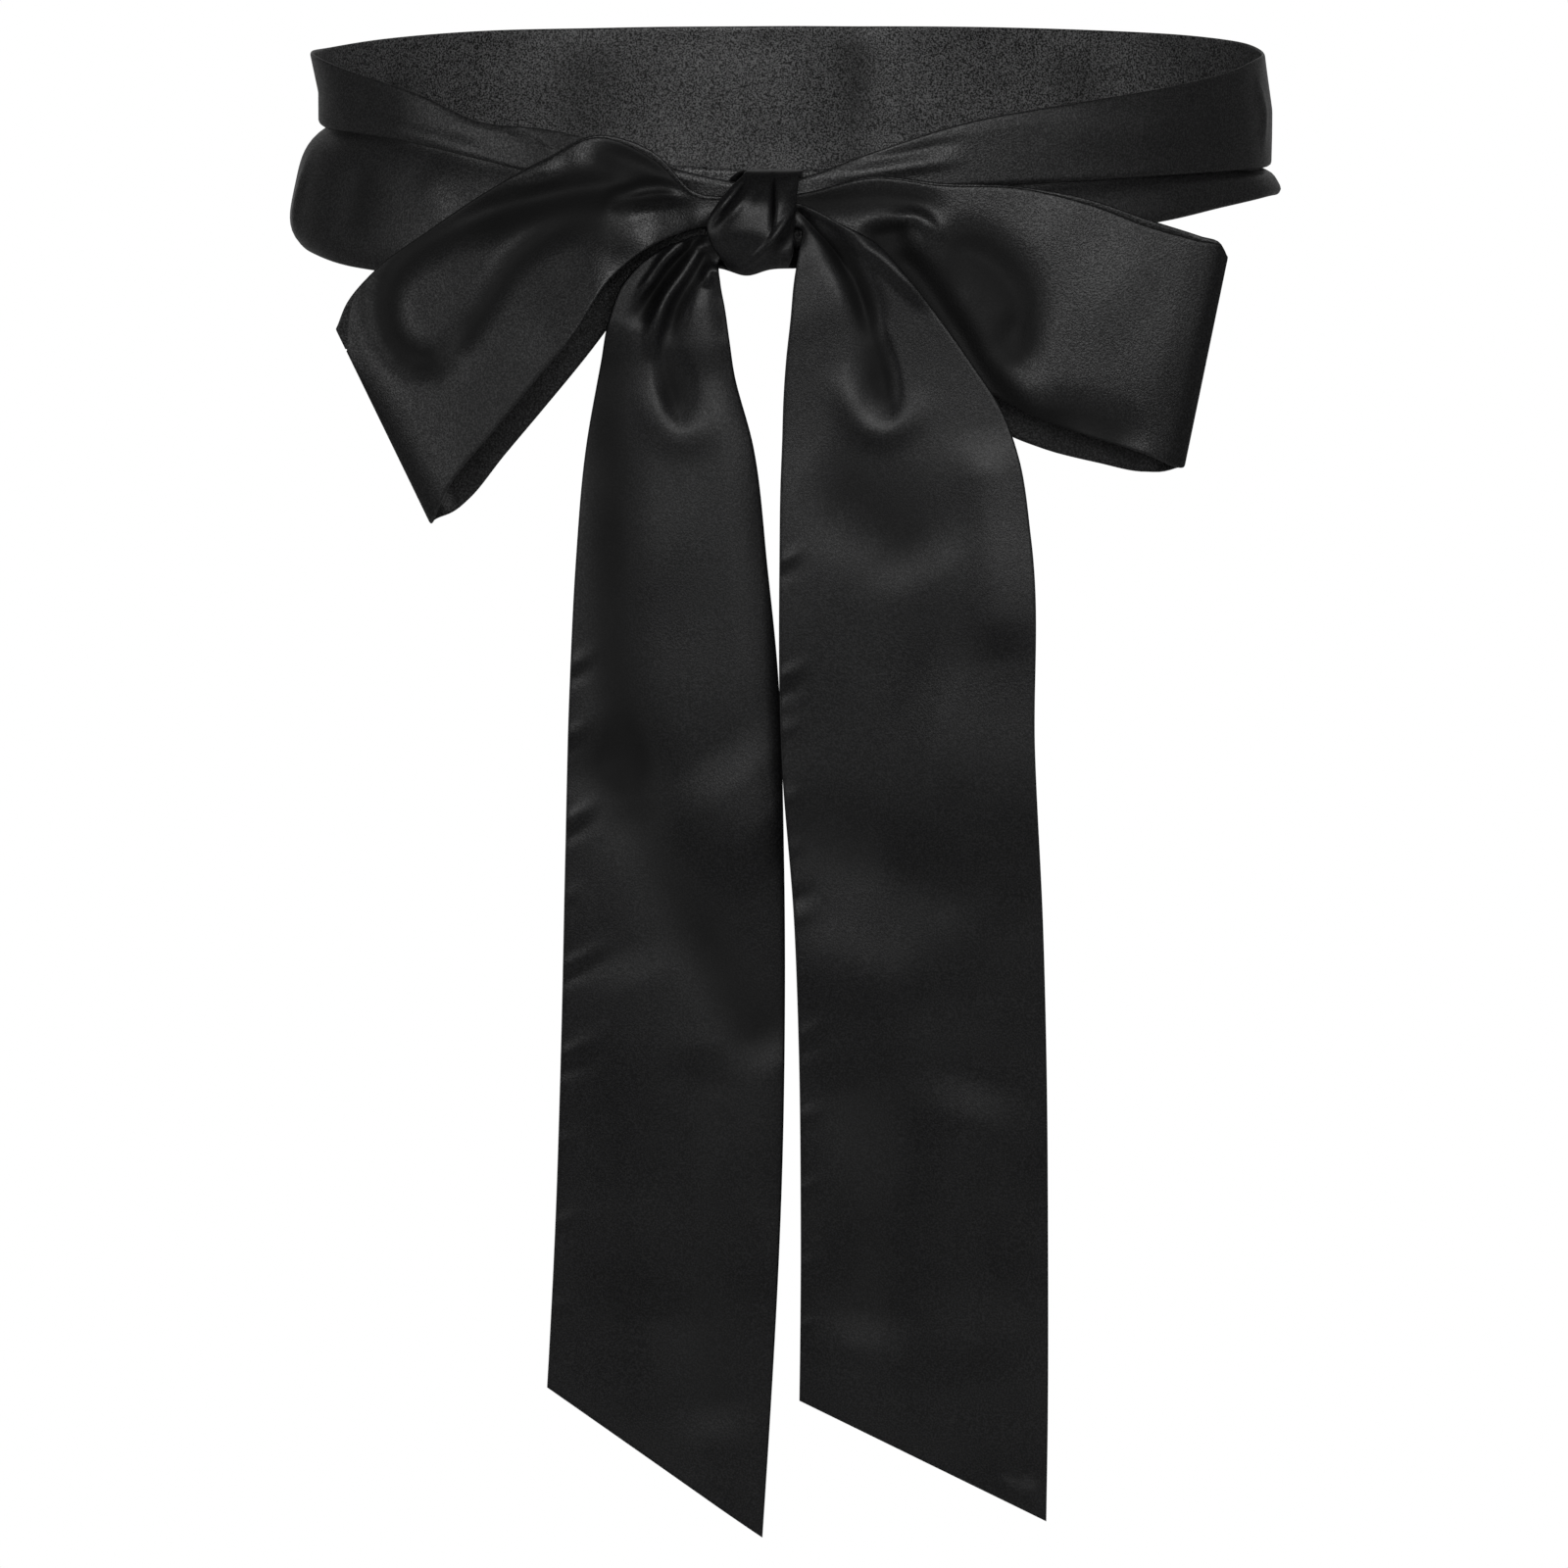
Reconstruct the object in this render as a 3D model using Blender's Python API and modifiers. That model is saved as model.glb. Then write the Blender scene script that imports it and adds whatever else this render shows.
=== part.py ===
"""Satin sash, worn round a waist and tied in a bow, with nobody inside it.

A flat satin tube, 76 mm wide, goes round the waist as a pleated ring. Its ends cross in a wrapped knot at
the front, leave it as two bow loops and hang down as two tails with slanted ends.
Sizes below are millimetres. +X is the viewer's right, -Y is the front and +Z is up. The origin is the middle
of the waist opening. "fore" is the distance in front of the waist's middle, which is minus Y.
"""

import bpy
import numpy as np

# Driving sizes
WALL = 1.5              # thickness of the cloth wall
RING_SIDE = 155.0       # half the width of the waist ring
RING_FORE = 114.4       # half its depth, front to back
LAYER = 2.2             # spacing of the cloth's layers inside a pleat
SEAM_GAP = 0.15         # each stretch of the waistband stops this far from the side line
KNOT_FORE = 118.0       # middle of the knot's wrap
KNOT_HEIGHT = -3.2
KNOT_FRONT = 10.4       # from that middle to the wrap's front wall
KNOT_BACK = 12.0        # and to its back wall
KNOT_HALF = 14.6        # and to its top and bottom walls
KNOT_BOX = 3.6          # exponent of the wrap's rounded-box section
NOSE = 0.90             # share of a bow loop's length where its end begins to turn round

# The waistband, a row for each section. angle is measured from the front, positive to the right.
# top, crease and bottom are heights, and tuck is how far the cloth goes up behind the crease. The other columns
# move the upper part's top and crease, and the lower part's belly and hem, away from the ring.
BAND_COLUMNS = ("angle", "top", "crease", "bottom", "tuck", "out_top", "out_crease", "belly", "hem")
BAND_LEFT = (
    (-90, 39.0, 17.5, -22.4, 7.0, -3.3, -5.6, 1.2, -0.6),
    (-76, 39.0, 17.7, -23.2, 7.4, -2.8, -4.2, 1.2, -0.4),
    (-62, 36.4, 18.4, -24.6, 7.8, -1.6, -1.6, 1.2, 0.0),
    (-48, 31.6, 17.3, -25.0, 8.0, -0.8, -0.4, 1.0, 0.4),
    (-38, 24.3, 13.8, -25.0, 7.0, -0.6, 0.0, 0.2, -0.4),
    (-29, 23.0, 9.6, -22.5, 8.0, -0.6, 0.0, -0.8, -1.4),
    (-20, 18.4, 5.6, -18.5, 8.0, -0.6, 0.0, -1.6, -2.4),
    (-12, 11.2, 2.2, -14.0, 5.4, -0.4, 0.0, -2.6, -3.4),
    (-5.6, 7.4, 0.6, -12.4, 3.6, -0.4, 0.0, -3.4, -4.0),
)
BAND_RIGHT = (
    (-3.9, 7.4, 0.6, -12.4, 3.6, -0.4, 0.0, -3.4, -4.0),
    (1.5, 9.2, 1.6, -12.6, 4.6, -0.4, 0.0, -3.2, -3.8),
    (8, 15.2, 3.6, -12.6, 8.0, -0.4, 0.0, -2.2, -3.0),
    (20, 25.0, 6.6, -12.0, 13.5, -0.4, 0.0, -1.2, -1.8),
    (34, 30.2, 7.2, -10.5, 17.0, -0.6, 0.0, -0.4, -0.8),
    (48, 33.2, 7.3, -8.4, 17.0, -1.0, 0.0, 0.0, -0.4),
    (62, 35.8, 6.6, -5.8, 16.5, -1.6, 0.0, 0.2, -0.2),
    (76, 38.2, 5.2, -5.0, 15.6, -2.6, -0.4, 1.2, 0.6),
    (90, 38.8, 3.8, -6.8, 14.6, -3.0, -0.6, 1.6, 0.8),
)
BAND_BACK = (
    (90, 38.8, 3.8, -6.8, 14.6, -3.0, -0.6, 1.6, 0.8),
    (104, 39.4, 2.6, -9.6, 13.4, -3.0, -0.6, 1.0, 0.2),
    (118, 39.5, 0.6, -14.0, 11.2, -3.0, -0.6, -0.2, -1.0),
    (134, 39.2, -3.6, -20.6, 8.0, -3.1, -1.0, -0.6, -1.8),
    (152, 38.8, -9.6, -26.6, 5.4, -3.2, -1.2, -1.2, -2.4),
    (180, 38.2, -14.6, -30.2, 3.8, -3.2, -1.2, -1.4, -2.6),
    (204, 38.4, -9.6, -29.6, 4.0, -3.2, -1.4, -1.2, -2.4),
    (222, 38.8, 0.0, -27.8, 4.8, -3.2, -2.0, -0.8, -2.0),
    (240, 38.4, 8.6, -25.4, 5.6, -3.2, -3.2, -0.2, -1.8),
    (256, 38.0, 14.6, -23.4, 6.4, -3.2, -4.6, 0.8, -1.2),
    (270, 39.0, 17.5, -22.4, 7.0, -3.3, -5.6, 1.2, -0.6),
)
# Soft upright ripples in the back of the band: angle, how far out, half width in degrees.
BACK_RIPPLES = (
    (126, 1.3, 7), (141, -1.2, 6), (157, 1.1, 6), (171, -1.5, 4.5), (179, 1.2, 4.5),
    (193, 0.9, 7), (206, -1.3, 7), (222, 1.2, 8), (238, -0.9, 6),
)

# Bow loops, a row for each line across the cloth from the knot to the end. The front layer's upper and lower
# ends, the lower end of the back layer, and how far each layer lies in front of the waist's middle.
LOOP_COLUMNS = ("top_x", "top_z", "low_x", "low_z", "back_x", "back_z", "front", "back")
LOOP_LEFT = (
    (-15.5, 3.6, -15.5, -4.8, -15.5, -4.4, 119.2, 115.65),
    (-29.0, 4.4, -29.0, -5.8, -29.0, -5.2, 120.4, 115.4),
    (-40.5, 14.8, -42.0, -10.6, -38.2, -13.4, 124.5, 115.8),
    (-56.0, 22.2, -53.5, -19.0, -48.2, -27.6, 128.0, 114.6),
    (-74.5, 15.4, -66.0, -37.6, -60.8, -45.0, 128.0, 112.6),
    (-93.1, 4.8, -78.6, -53.0, -75.5, -63.2, 125.5, 110.4),
    (-111.8, -8.0, -90.8, -68.2, -88.2, -78.6, 121.5, 107.6),
    (-127.9, -20.2, -102.4, -82.4, -98.8, -92.0, 117.0, 104.6),
    (-136.5, -30.4, -107.8, -91.8, -105.6, -97.4, 113.6, 103.6),
    (-139.8, -38.2, -110.4, -98.6, -110.4, -98.8, 112.0, 103.8),
)
LOOP_RIGHT = (
    (-4.0, 3.4, -4.0, -5.0, -4.0, -4.6, 119.4, 116.25),
    (6.5, 5.0, 6.5, -6.4, 6.5, -6.0, 119.6, 116.1),
    (25.1, 9.7, 21.1, -21.8, 23.1, -25.4, 121.0, 115.6),
    (47.1, 7.6, 38.1, -39.0, 41.3, -48.0, 121.2, 112.2),
    (71.7, 6.4, 58.7, -54.6, 62.4, -68.0, 120.0, 109.2),
    (93.4, 2.1, 78.8, -65.5, 79.6, -76.4, 117.6, 106.0),
    (112.1, -4.6, 98.0, -72.2, 96.9, -81.2, 114.4, 103.2),
    (127.8, -9.8, 112.2, -77.0, 111.6, -84.4, 110.6, 100.2),
    (134.4, -12.4, 119.5, -80.0, 118.8, -84.2, 108.4, 99.4),
    (136.2, -15.8, 123.0, -81.8, 123.0, -82.0, 107.0, 99.6),
)

# Tails, a row for each line across the cloth from the knot to the slanted end: its left and right ends, how
# far it lies in front of the waist's middle, and how far its inner edge rolls away.
TAIL_COLUMNS = ("left_x", "left_z", "right_x", "right_z", "fore", "roll")
TAIL_LEFT = (
    (-17.5, -8.0, -15.5, -14.6, 118.0, 0.0),
    (-28.5, -8.6, -20.8, -16.6, 118.6, 0.0),
    (-40.0, -13.0, -20.6, -23.0, 119.2, 0.0),
    (-50.0, -22.0, -19.2, -31.0, 119.8, 0.5),
    (-55.2, -34.5, -17.8, -41.0, 120.4, 1.5),
    (-57.6, -47.5, -16.4, -51.0, 120.8, 2.5),
    (-62.0, -72.0, -10.5, -73.4, 121.6, 4.0),
    (-65.4, -108.0, -6.1, -111.0, 122.4, 6.0),
    (-67.5, -148.0, -2.7, -146.0, 122.8, 7.0),
    (-69.0, -200.0, -1.0, -200.0, 123.0, 6.5),
    (-70.3, -252.0, -0.7, -252.0, 123.0, 4.0),
    (-72.4, -314.0, -2.1, -318.0, 123.0, 2.0),
    (-74.7, -359.0, -5.6, -385.0, 123.0, 1.0),
    (-75.4, -370.8, -7.8, -419.4, 123.0, 1.0),
)
TAIL_RIGHT = (
    (-2.5, -4.8, -2.5, 2.4, 122.6, 0.0),
    (4.2, -6.0, 4.6, 2.2, 123.6, 0.0),
    (3.4, -13.0, 15.3, -3.0, 126.0, 0.0),
    (2.0, -22.0, 27.0, -9.4, 127.0, 0.0),
    (1.0, -33.0, 35.5, -18.2, 127.8, 0.0),
    (-0.3, -45.0, 44.8, -30.0, 128.2, 0.0),
    (-1.2, -58.0, 56.3, -46.0, 128.4, 0.0),
    (-1.6, -71.0, 66.0, -61.0, 128.2, 0.0),
    (-2.1, -84.0, 71.2, -75.0, 127.8, 0.0),
    (-2.4, -104.0, 75.3, -101.0, 127.6, 0.0),
    (-1.9, -167.5, 76.7, -167.5, 127.4, 0.0),
    (2.2, -222.7, 79.5, -222.7, 127.4, 0.0),
    (3.6, -262.0, 80.7, -262.0, 127.4, 0.0),
    (4.2, -317.0, 81.5, -320.0, 127.4, 0.0),
    (4.0, -359.0, 81.7, -385.0, 127.4, 0.0),
    (3.8, -374.0, 81.4, -412.8, 127.4, 0.0),
)

# Large folds: how far the cloth rises toward the viewer, half width, and the line along the fold as x, z pairs.
FOLDS_LOOP_LEFT = (
    (-5.5, 7.0, ((-92, 0), (-78, 7), (-56, 9), (-41, 10))),
    (3.0, 7.0, ((-36, -1), (-61, -12), (-79, -37), (-90, -58))),
    (-4.0, 6.0, ((-98, -38), (-85, -27), (-72, -8), (-58, 2))),
    (-3.5, 8.0, ((-123, -22), (-120, -38), (-113, -46), (-100, -44))),
    (1.5, 8.0, ((-108, -32), (-96, -14))),
)
FOLDS_LOOP_RIGHT = (
    (-3.5, 8.0, ((50, -4), (66, -14), (76, -26), (72, -40))),
    (2.0, 9.0, ((56, -20), (62, -38))),
    (2.5, 8.0, ((88, -6), (100, -30), (92, -56))),
    (-2.5, 8.0, ((122, -14), (112, -40), (96, -58))),
)
FOLDS_TAIL_LEFT = (
    (2.0, 3.5, ((-38, -15), (-46, -25), (-52, -44))),
    (-2.0, 3.5, ((-30, -12), (-41, -24), (-49, -37))),
    (2.2, 3.5, ((-29, -13), (-36, -28), (-40, -44))),
    (-3.0, 5.0, ((-29, -23), (-36, -40), (-37, -52), (-33, -60), (-28, -57))),
    (3.0, 14.0, ((-52, -150), (-48, -230), (-50, -330))),
    (-2.5, 16.0, ((-62, -140), (-40, -170), (-18, -205))),
    (2.5, 13.0, ((-24, -110), (-20, -160))),
)
FOLDS_TAIL_RIGHT = (
    (2.2, 4.0, ((6, 1), (28, -12), (45, -32), (60, -56))),
    (-4.5, 6.0, ((8, -5), (18, -18), (26, -38), (30, -58))),
    (2.0, 5.0, ((22, -62), (33, -64), (40, -56))),
    (-2.0, 14.0, ((2, -176), (30, -190), (62, -204))),
    (2.2, 15.0, ((8, -206), (34, -222))),
    (2.5, 14.0, ((30, -90), (36, -130))),
    (2.0, 16.0, ((60, -300), (54, -350))),
)
FOLDS_KNOT = (
    (3.4, 7.0, ((-16, 6), (-15, -4), (-16, -12))),
    (2.6, 3.2, ((0, 9), (-1, 0), (-4, -8), (-11, -15))),
)

MATERIALS = {"satin": (0.012, 0.012, 0.014), "satin_inside": (0.020, 0.020, 0.023)}


def clear_scene():
    """Remove every object of the scene that the file opens with."""
    for thing in list(bpy.data.objects):
        bpy.data.objects.remove(thing, do_unlink=True)


def material(name):
    """A satin-black finish with a soft sheen."""
    made = bpy.data.materials.new(name)
    made.use_nodes = True
    shader = made.node_tree.nodes["Principled BSDF"]
    red, green, blue = MATERIALS[name]
    shader.inputs["Base Color"].default_value = (red, green, blue, 1.0)
    shader.inputs["Roughness"].default_value = 0.42
    shader.inputs["Metallic"].default_value = 0.0
    return made


def hermite(keys, values, at):
    """A smooth curve through values at keys, read at the given places. Rows that run down are turned round."""
    keys = np.asarray(keys, float)
    values = np.asarray(values, float)
    slope = np.gradient(values, keys)
    cell = np.clip(np.searchsorted(keys, at, side="right") - 1, 0, len(keys) - 2)
    width = keys[cell + 1] - keys[cell]
    t = (at - keys[cell]) / width
    start = (1 + 2 * t) * (1 - t) ** 2 * values[cell] + t * (1 - t) ** 2 * width * slope[cell]
    end = t ** 2 * (3 - 2 * t) * values[cell + 1] - t ** 2 * (1 - t) * width * slope[cell + 1]
    return start + end


def columns(table, names, at, keys=None):
    """Every column of a table, smoothed and read at the given places."""
    rows = np.array(table, float)
    keys = rows[:, 0] if keys is None else keys
    return {name: hermite(keys, rows[:, i], at) for i, name in enumerate(names)}


def fold_height(folds, x, z):
    """Sum of the folds: each is highest on its line, fades off sideways as a bell and at its ends."""
    total = np.zeros_like(x)
    for height, half_width, line in folds:
        line = np.array(line, float)
        lengths = np.linalg.norm(np.diff(line, axis=0), axis=1)
        starts = np.concatenate([[0.0], np.cumsum(lengths)])
        nearest = np.full(x.shape, 1e9)
        along = np.zeros_like(x)
        for i, length in enumerate(lengths):
            direction = (line[i + 1] - line[i]) / length
            dx = x - line[i, 0]
            dz = z - line[i, 1]
            t = np.clip(dx * direction[0] + dz * direction[1], 0.0, length)
            distance = np.hypot(dx - t * direction[0], dz - t * direction[1])
            closer = distance < nearest
            nearest = np.where(closer, distance, nearest)
            along = np.where(closer, starts[i] + t, along)
        ends = np.minimum(along, starts[-1] - along)
        fade = 0.35 + 0.65 * np.clip(ends / (0.3 * starts[-1]), 0.0, 1.0)
        total += height * fade * np.exp(-((nearest / half_width) ** 2))
    return total


def pleat_section(low_count=6, tuck_count=3, high_count=5):
    """A band's section as places on a folded strip: which part each point is on, and how far along it."""
    turn = np.radians([0, 60, 120, 180])
    part = [("low", t) for t in np.linspace(0, 1, low_count)[:-1]]
    part += [("inner_turn", t) for t in turn]
    part += [("middle", t) for t in np.linspace(0, 1, tuck_count)[1:-1]]
    part += [("outer_turn", t) for t in turn]
    part += [("high", t) for t in np.linspace(0, 1, high_count)[1:]]
    return part


def waistband(table, first, last, stations, ripples=()):
    """Points of a stretch of the waistband between two angles.

    Each section climbs from the hem, goes up behind the crease, turns down to it and up again in front of it.
    """
    angle = np.linspace(first, last, stations)
    row = columns(table, BAND_COLUMNS, angle)
    crease = row["crease"]
    inner = row["out_crease"] - 2 * LAYER
    shelf = crease - 1.5 * LAYER
    heights = []
    offsets = []
    for place, t in pleat_section():
        if place == "low":
            height = row["bottom"] + t * (crease + row["tuck"] - row["bottom"])
            share = np.clip((height - row["bottom"]) / (shelf - row["bottom"]), 0, 1)
            rise = (row["belly"] - 0.5 * (row["hem"] + inner)) * 4 * share * (1 - share)
            offset = row["hem"] * (1 - share) + inner * share + rise
        if place == "inner_turn":
            height = crease + row["tuck"] + np.sin(t) * LAYER / 2
            offset = inner + (1 - np.cos(t)) * LAYER / 2
        if place == "middle":
            height = crease + (1 - t) * row["tuck"]
            offset = inner + LAYER
        if place == "outer_turn":
            height = crease - np.sin(t) * LAYER / 2
            offset = inner + LAYER + (1 - np.cos(t)) * LAYER / 2
        if place == "high":
            height = crease + t * (row["top"] - crease)
            clear = crease + row["tuck"] + LAYER
            share = np.clip((height - clear) / (row["top"] - clear), 0, 1)
            offset = row["out_crease"] * (1 - share) + row["out_top"] * share
        heights.append(height)
        offsets.append(offset)
    height = np.array(heights).T
    offset = np.array(offsets).T
    for centre, out, half_width in ripples:
        offset += out * np.exp(-(((angle - centre) / half_width) ** 2))[:, None]
    turn = np.radians(angle)[:, None]
    x = (RING_SIDE + offset) * np.sin(turn)
    fore = (RING_FORE + offset) * np.cos(turn)
    return np.stack([x, -fore, height], axis=-1)


def bow_loop(table, folds, along_count, across_count):
    """Points of a bow loop: out along the front layer, round its end and back along the layer behind."""
    rows = np.array(table, float)
    middle = (rows[:, 0:2] + rows[:, 2:4]) / 2
    reach = np.concatenate([[0.0], np.cumsum(np.linalg.norm(np.diff(middle, axis=0), axis=1))])
    reach /= reach[-1]
    out = np.linspace(0, NOSE, along_count)
    turn = np.radians([15, 35, 55, 75])
    nose = NOSE + (1 - NOSE) * np.sin(turn)
    place = np.concatenate([out, nose, [1.0], nose[::-1], out[::-1]])
    side = np.concatenate([np.ones_like(out), np.cos(turn), [0.0], -np.cos(turn[::-1]), -np.ones_like(out)])
    row = columns(table, LOOP_COLUMNS, place, keys=reach)
    across = np.linspace(0, 1, across_count)[None, :]
    front_share = (1 + side[:, None]) / 2
    low_x = front_share * row["low_x"][:, None] + (1 - front_share) * row["back_x"][:, None]
    low_z = front_share * row["low_z"][:, None] + (1 - front_share) * row["back_z"][:, None]
    x = row["top_x"][:, None] * (1 - across) + low_x * across
    z = row["top_z"][:, None] * (1 - across) + low_z * across
    centre = (row["front"] + row["back"])[:, None] / 2
    half = (row["front"] - row["back"])[:, None] / 2
    bow_out = 1.2 * np.sin(np.pi * across) * np.clip(side, 0, 1)[:, None]
    fore = centre + half * side[:, None] + bow_out
    fore += fold_height(folds, x, z) * np.clip(side, 0, 1)[:, None]
    return np.stack([x, -fore, z], axis=-1)


def tail(table, folds, along_count, across_count, inner_right):
    """Points of a hanging tail, from the knot to its slanted end, with its inner edge rolled away."""
    rows = np.array(table, float)
    middle = (rows[:, 0:2] + rows[:, 2:4]) / 2
    reach = np.concatenate([[0.0], np.cumsum(np.linalg.norm(np.diff(middle, axis=0), axis=1))])
    first = np.linspace(0, 0.33, along_count // 2, endpoint=False)
    rest = np.linspace(0.33, 1, along_count - along_count // 2)
    place = np.concatenate([first, rest]) * reach[-1]
    row = columns(table, TAIL_COLUMNS, place, keys=reach)
    across = np.linspace(0, 1, across_count)[None, :]
    x = row["left_x"][:, None] * (1 - across) + row["right_x"][:, None] * across
    z = row["left_z"][:, None] * (1 - across) + row["right_z"][:, None] * across
    edge = across if inner_right else 1 - across
    roll = row["roll"][:, None] * np.clip((edge - 0.78) / 0.22, 0, 1) ** 2
    fore = row["fore"][:, None] - roll + fold_height(folds, x, z)
    return np.stack([x, -fore, z], axis=-1)


def knot_wrap(around_count, along_count):
    """Points of the knot's wrap: a rounded-box tube round the band's ends, its rims cut on a slant."""
    around = np.linspace(0, 2 * np.pi, around_count, endpoint=False)[:, None]
    along = np.linspace(0, 1, along_count)[None, :]
    rise = np.sin(around)
    ahead = np.cos(around)
    size = (np.abs(rise) ** KNOT_BOX + np.abs(ahead) ** KNOT_BOX) ** (-1 / KNOT_BOX)
    depth = np.where(ahead > 0, KNOT_FRONT, KNOT_BACK)
    rim_left = -21.0 - 3.4 * np.clip(ahead, 0, 1) + 9.0 * np.clip(rise, 0, 1) ** 3 + 1.5 * np.clip(-rise, 0, 1) ** 3
    rim_right = 3.0 - 0.8 * np.clip(-rise, 0, 1)
    x = rim_left * (1 - along) + rim_right * along
    z = KNOT_HEIGHT + KNOT_HALF * size * rise + 0 * along
    fore = KNOT_FORE + depth * size * ahead + 0 * along
    facing = np.clip(size * ahead, 0, 1) ** 2
    fore = fore + fold_height(FOLDS_KNOT, x, z) * facing
    return np.stack([x, -fore, z], axis=-1)


def cloth(name, points, finish, home, closed=False):
    """A cloth wall on a grid of points: quads between neighbours, thickened evenly to both sides."""
    rows, across = points.shape[:2]
    faces = []
    for i in range(rows if closed else rows - 1):
        for j in range(across - 1):
            below = (i + 1) % rows
            faces.append((i * across + j, i * across + j + 1, below * across + j + 1, below * across + j))
    mesh = bpy.data.meshes.new(name)
    mesh.from_pydata((points.reshape(-1, 3) / 1000.0).tolist(), [], faces)
    mesh.materials.append(finish)
    mesh.update()
    piece = bpy.data.objects.new(name, mesh)
    home.objects.link(piece)
    wall = piece.modifiers.new("cloth_wall", "SOLIDIFY")
    wall.thickness = WALL / 1000.0
    wall.offset = 0.0
    wall.use_rim = True
    return piece


def build():
    """Every piece of the sash, in a collection of its own."""
    clear_scene()
    home = bpy.data.collections.new("satin_sash")
    bpy.context.scene.collection.children.link(home)
    satin = material("satin")
    inside = material("satin_inside")
    gap = np.degrees(SEAM_GAP / RING_FORE)
    cloth("band_back", waistband(BAND_BACK, 90 + gap, 270 - gap, 31, BACK_RIPPLES), inside, home)
    cloth("band_left", waistband(BAND_LEFT, -90 + gap, -5.6, 20), satin, home)
    cloth("band_right", waistband(BAND_RIGHT, -3.9, 90 - gap, 21), satin, home)
    cloth("knot", knot_wrap(32, 8), satin, home, closed=True)
    cloth("bow_loop_left", bow_loop(LOOP_LEFT, FOLDS_LOOP_LEFT, 13, 10), satin, home)
    cloth("bow_loop_right", bow_loop(LOOP_RIGHT, FOLDS_LOOP_RIGHT, 13, 10), satin, home)
    cloth("tail_left", tail(TAIL_LEFT, FOLDS_TAIL_LEFT, 32, 10, True), satin, home)
    cloth("tail_right", tail(TAIL_RIGHT, FOLDS_TAIL_RIGHT, 32, 10, False), satin, home)


build()
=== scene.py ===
# %% [markdown]
# # A black satin sash, tied in a bow
#
# This lesson dresses a worn sash: a wide satin strip that goes round a waist, crosses in a knot and leaves it
# as two loops and two long tails. Nobody wears it, so the cloth keeps the round form of the waist on its own.
# Shapes are worked out in millimetres. Meshes, flat sizes, lights and the camera are in metres.

import bpy
import numpy as np
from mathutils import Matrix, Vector


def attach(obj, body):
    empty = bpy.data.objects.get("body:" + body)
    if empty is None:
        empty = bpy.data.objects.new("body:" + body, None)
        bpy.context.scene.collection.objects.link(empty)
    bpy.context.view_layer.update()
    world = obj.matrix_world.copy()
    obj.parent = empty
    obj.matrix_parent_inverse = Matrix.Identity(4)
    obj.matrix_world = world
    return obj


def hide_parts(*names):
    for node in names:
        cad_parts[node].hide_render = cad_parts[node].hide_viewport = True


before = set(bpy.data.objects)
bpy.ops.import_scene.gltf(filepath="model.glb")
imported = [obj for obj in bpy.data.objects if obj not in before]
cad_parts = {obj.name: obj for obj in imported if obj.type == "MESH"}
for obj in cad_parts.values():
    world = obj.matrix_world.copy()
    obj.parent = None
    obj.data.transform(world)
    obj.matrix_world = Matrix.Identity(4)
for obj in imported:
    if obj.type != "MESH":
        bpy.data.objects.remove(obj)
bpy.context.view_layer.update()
MM = 1000  # millimetres in a metre

# %% [markdown]
# ## Reading a table smoothly
# Cloth is described here by short tables: a row for each line across the strip. A Hermite curve runs through
# the rows, so the strip has no corners between them. A few rows are easy to move by hand, which is why they
# are used instead of long lists of points.

# %% Smooth tables
def hermite(keys, values, at):
    """A smooth curve through values at keys.

    In a cell the first value has the weight 1-3t^2+2t^3 and the last value the rest of 1. The slopes at its
    two ends, times its width, are added with the weights t(1-t)^2 and -t^2(1-t).
    """
    keys = np.asarray(keys, float)
    values = np.asarray(values, float)
    slope = np.gradient(values, keys)
    cell = np.clip(np.searchsorted(keys, at, side="right") - 1, 0, len(keys) - 2)
    width = keys[cell + 1] - keys[cell]
    t = (at - keys[cell]) / width
    start = (1 + 2 * t) * (1 - t) ** 2 * values[cell] + t * (1 - t) ** 2 * width * slope[cell]
    end = t ** 2 * (3 - 2 * t) * values[cell + 1] - t ** 2 * (1 - t) * width * slope[cell + 1]
    return start + end


def columns(table, names, at, keys=None):
    """Every named column of a table, read at the given places."""
    rows = np.array(table, float)
    keys = rows[:, 0] if keys is None else keys
    return {name: hermite(keys, rows[:, i], at)[:, None] for i, name in enumerate(names)}


def reach_of(table):
    """How far along the strip each row of a table lies, measured between the rows' middles."""
    rows = np.array(table, float)
    middle = (rows[:, 0:2] + rows[:, 2:4]) / 2
    steps = np.linalg.norm(np.diff(middle, axis=0), axis=1)
    return np.concatenate([[0.0], np.cumsum(steps)])


def ease(value):
    """0 below 0, 1 above 1, and 3t^2-2t^3 between, so it starts and ends level."""
    t = np.clip(value, 0.0, 1.0)
    return t * t * (3 - 2 * t)


print("halfway from 0 to 1 the curve reads", hermite([0, 1], [0, 1], np.array([0.5]))[0])

# %% [markdown]
# ## Folds as lines
# Satin that is pulled into a knot breaks into soft troughs and ridges. Each is drawn as a line on the cloth,
# with a height, which is below zero for a trough, and a half width. Its cross-section is a bell, and it dies
# away at its ends. A few folds also say a lean, which makes one side steeper, and that only their far end
# fades, because they come straight out of the knot.

# %% Lines on the cloth
def smooth_line(points, count=26):
    """A drawn line of x, z pairs, made smooth with the same Hermite curve."""
    points = np.array(points, float)
    steps = np.linalg.norm(np.diff(points, axis=0), axis=1)
    keys = np.concatenate([[0.0], np.cumsum(steps)])
    at = np.linspace(0, keys[-1], count)
    return np.stack([hermite(keys, points[:, 0], at), hermite(keys, points[:, 1], at)], axis=1)


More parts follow.
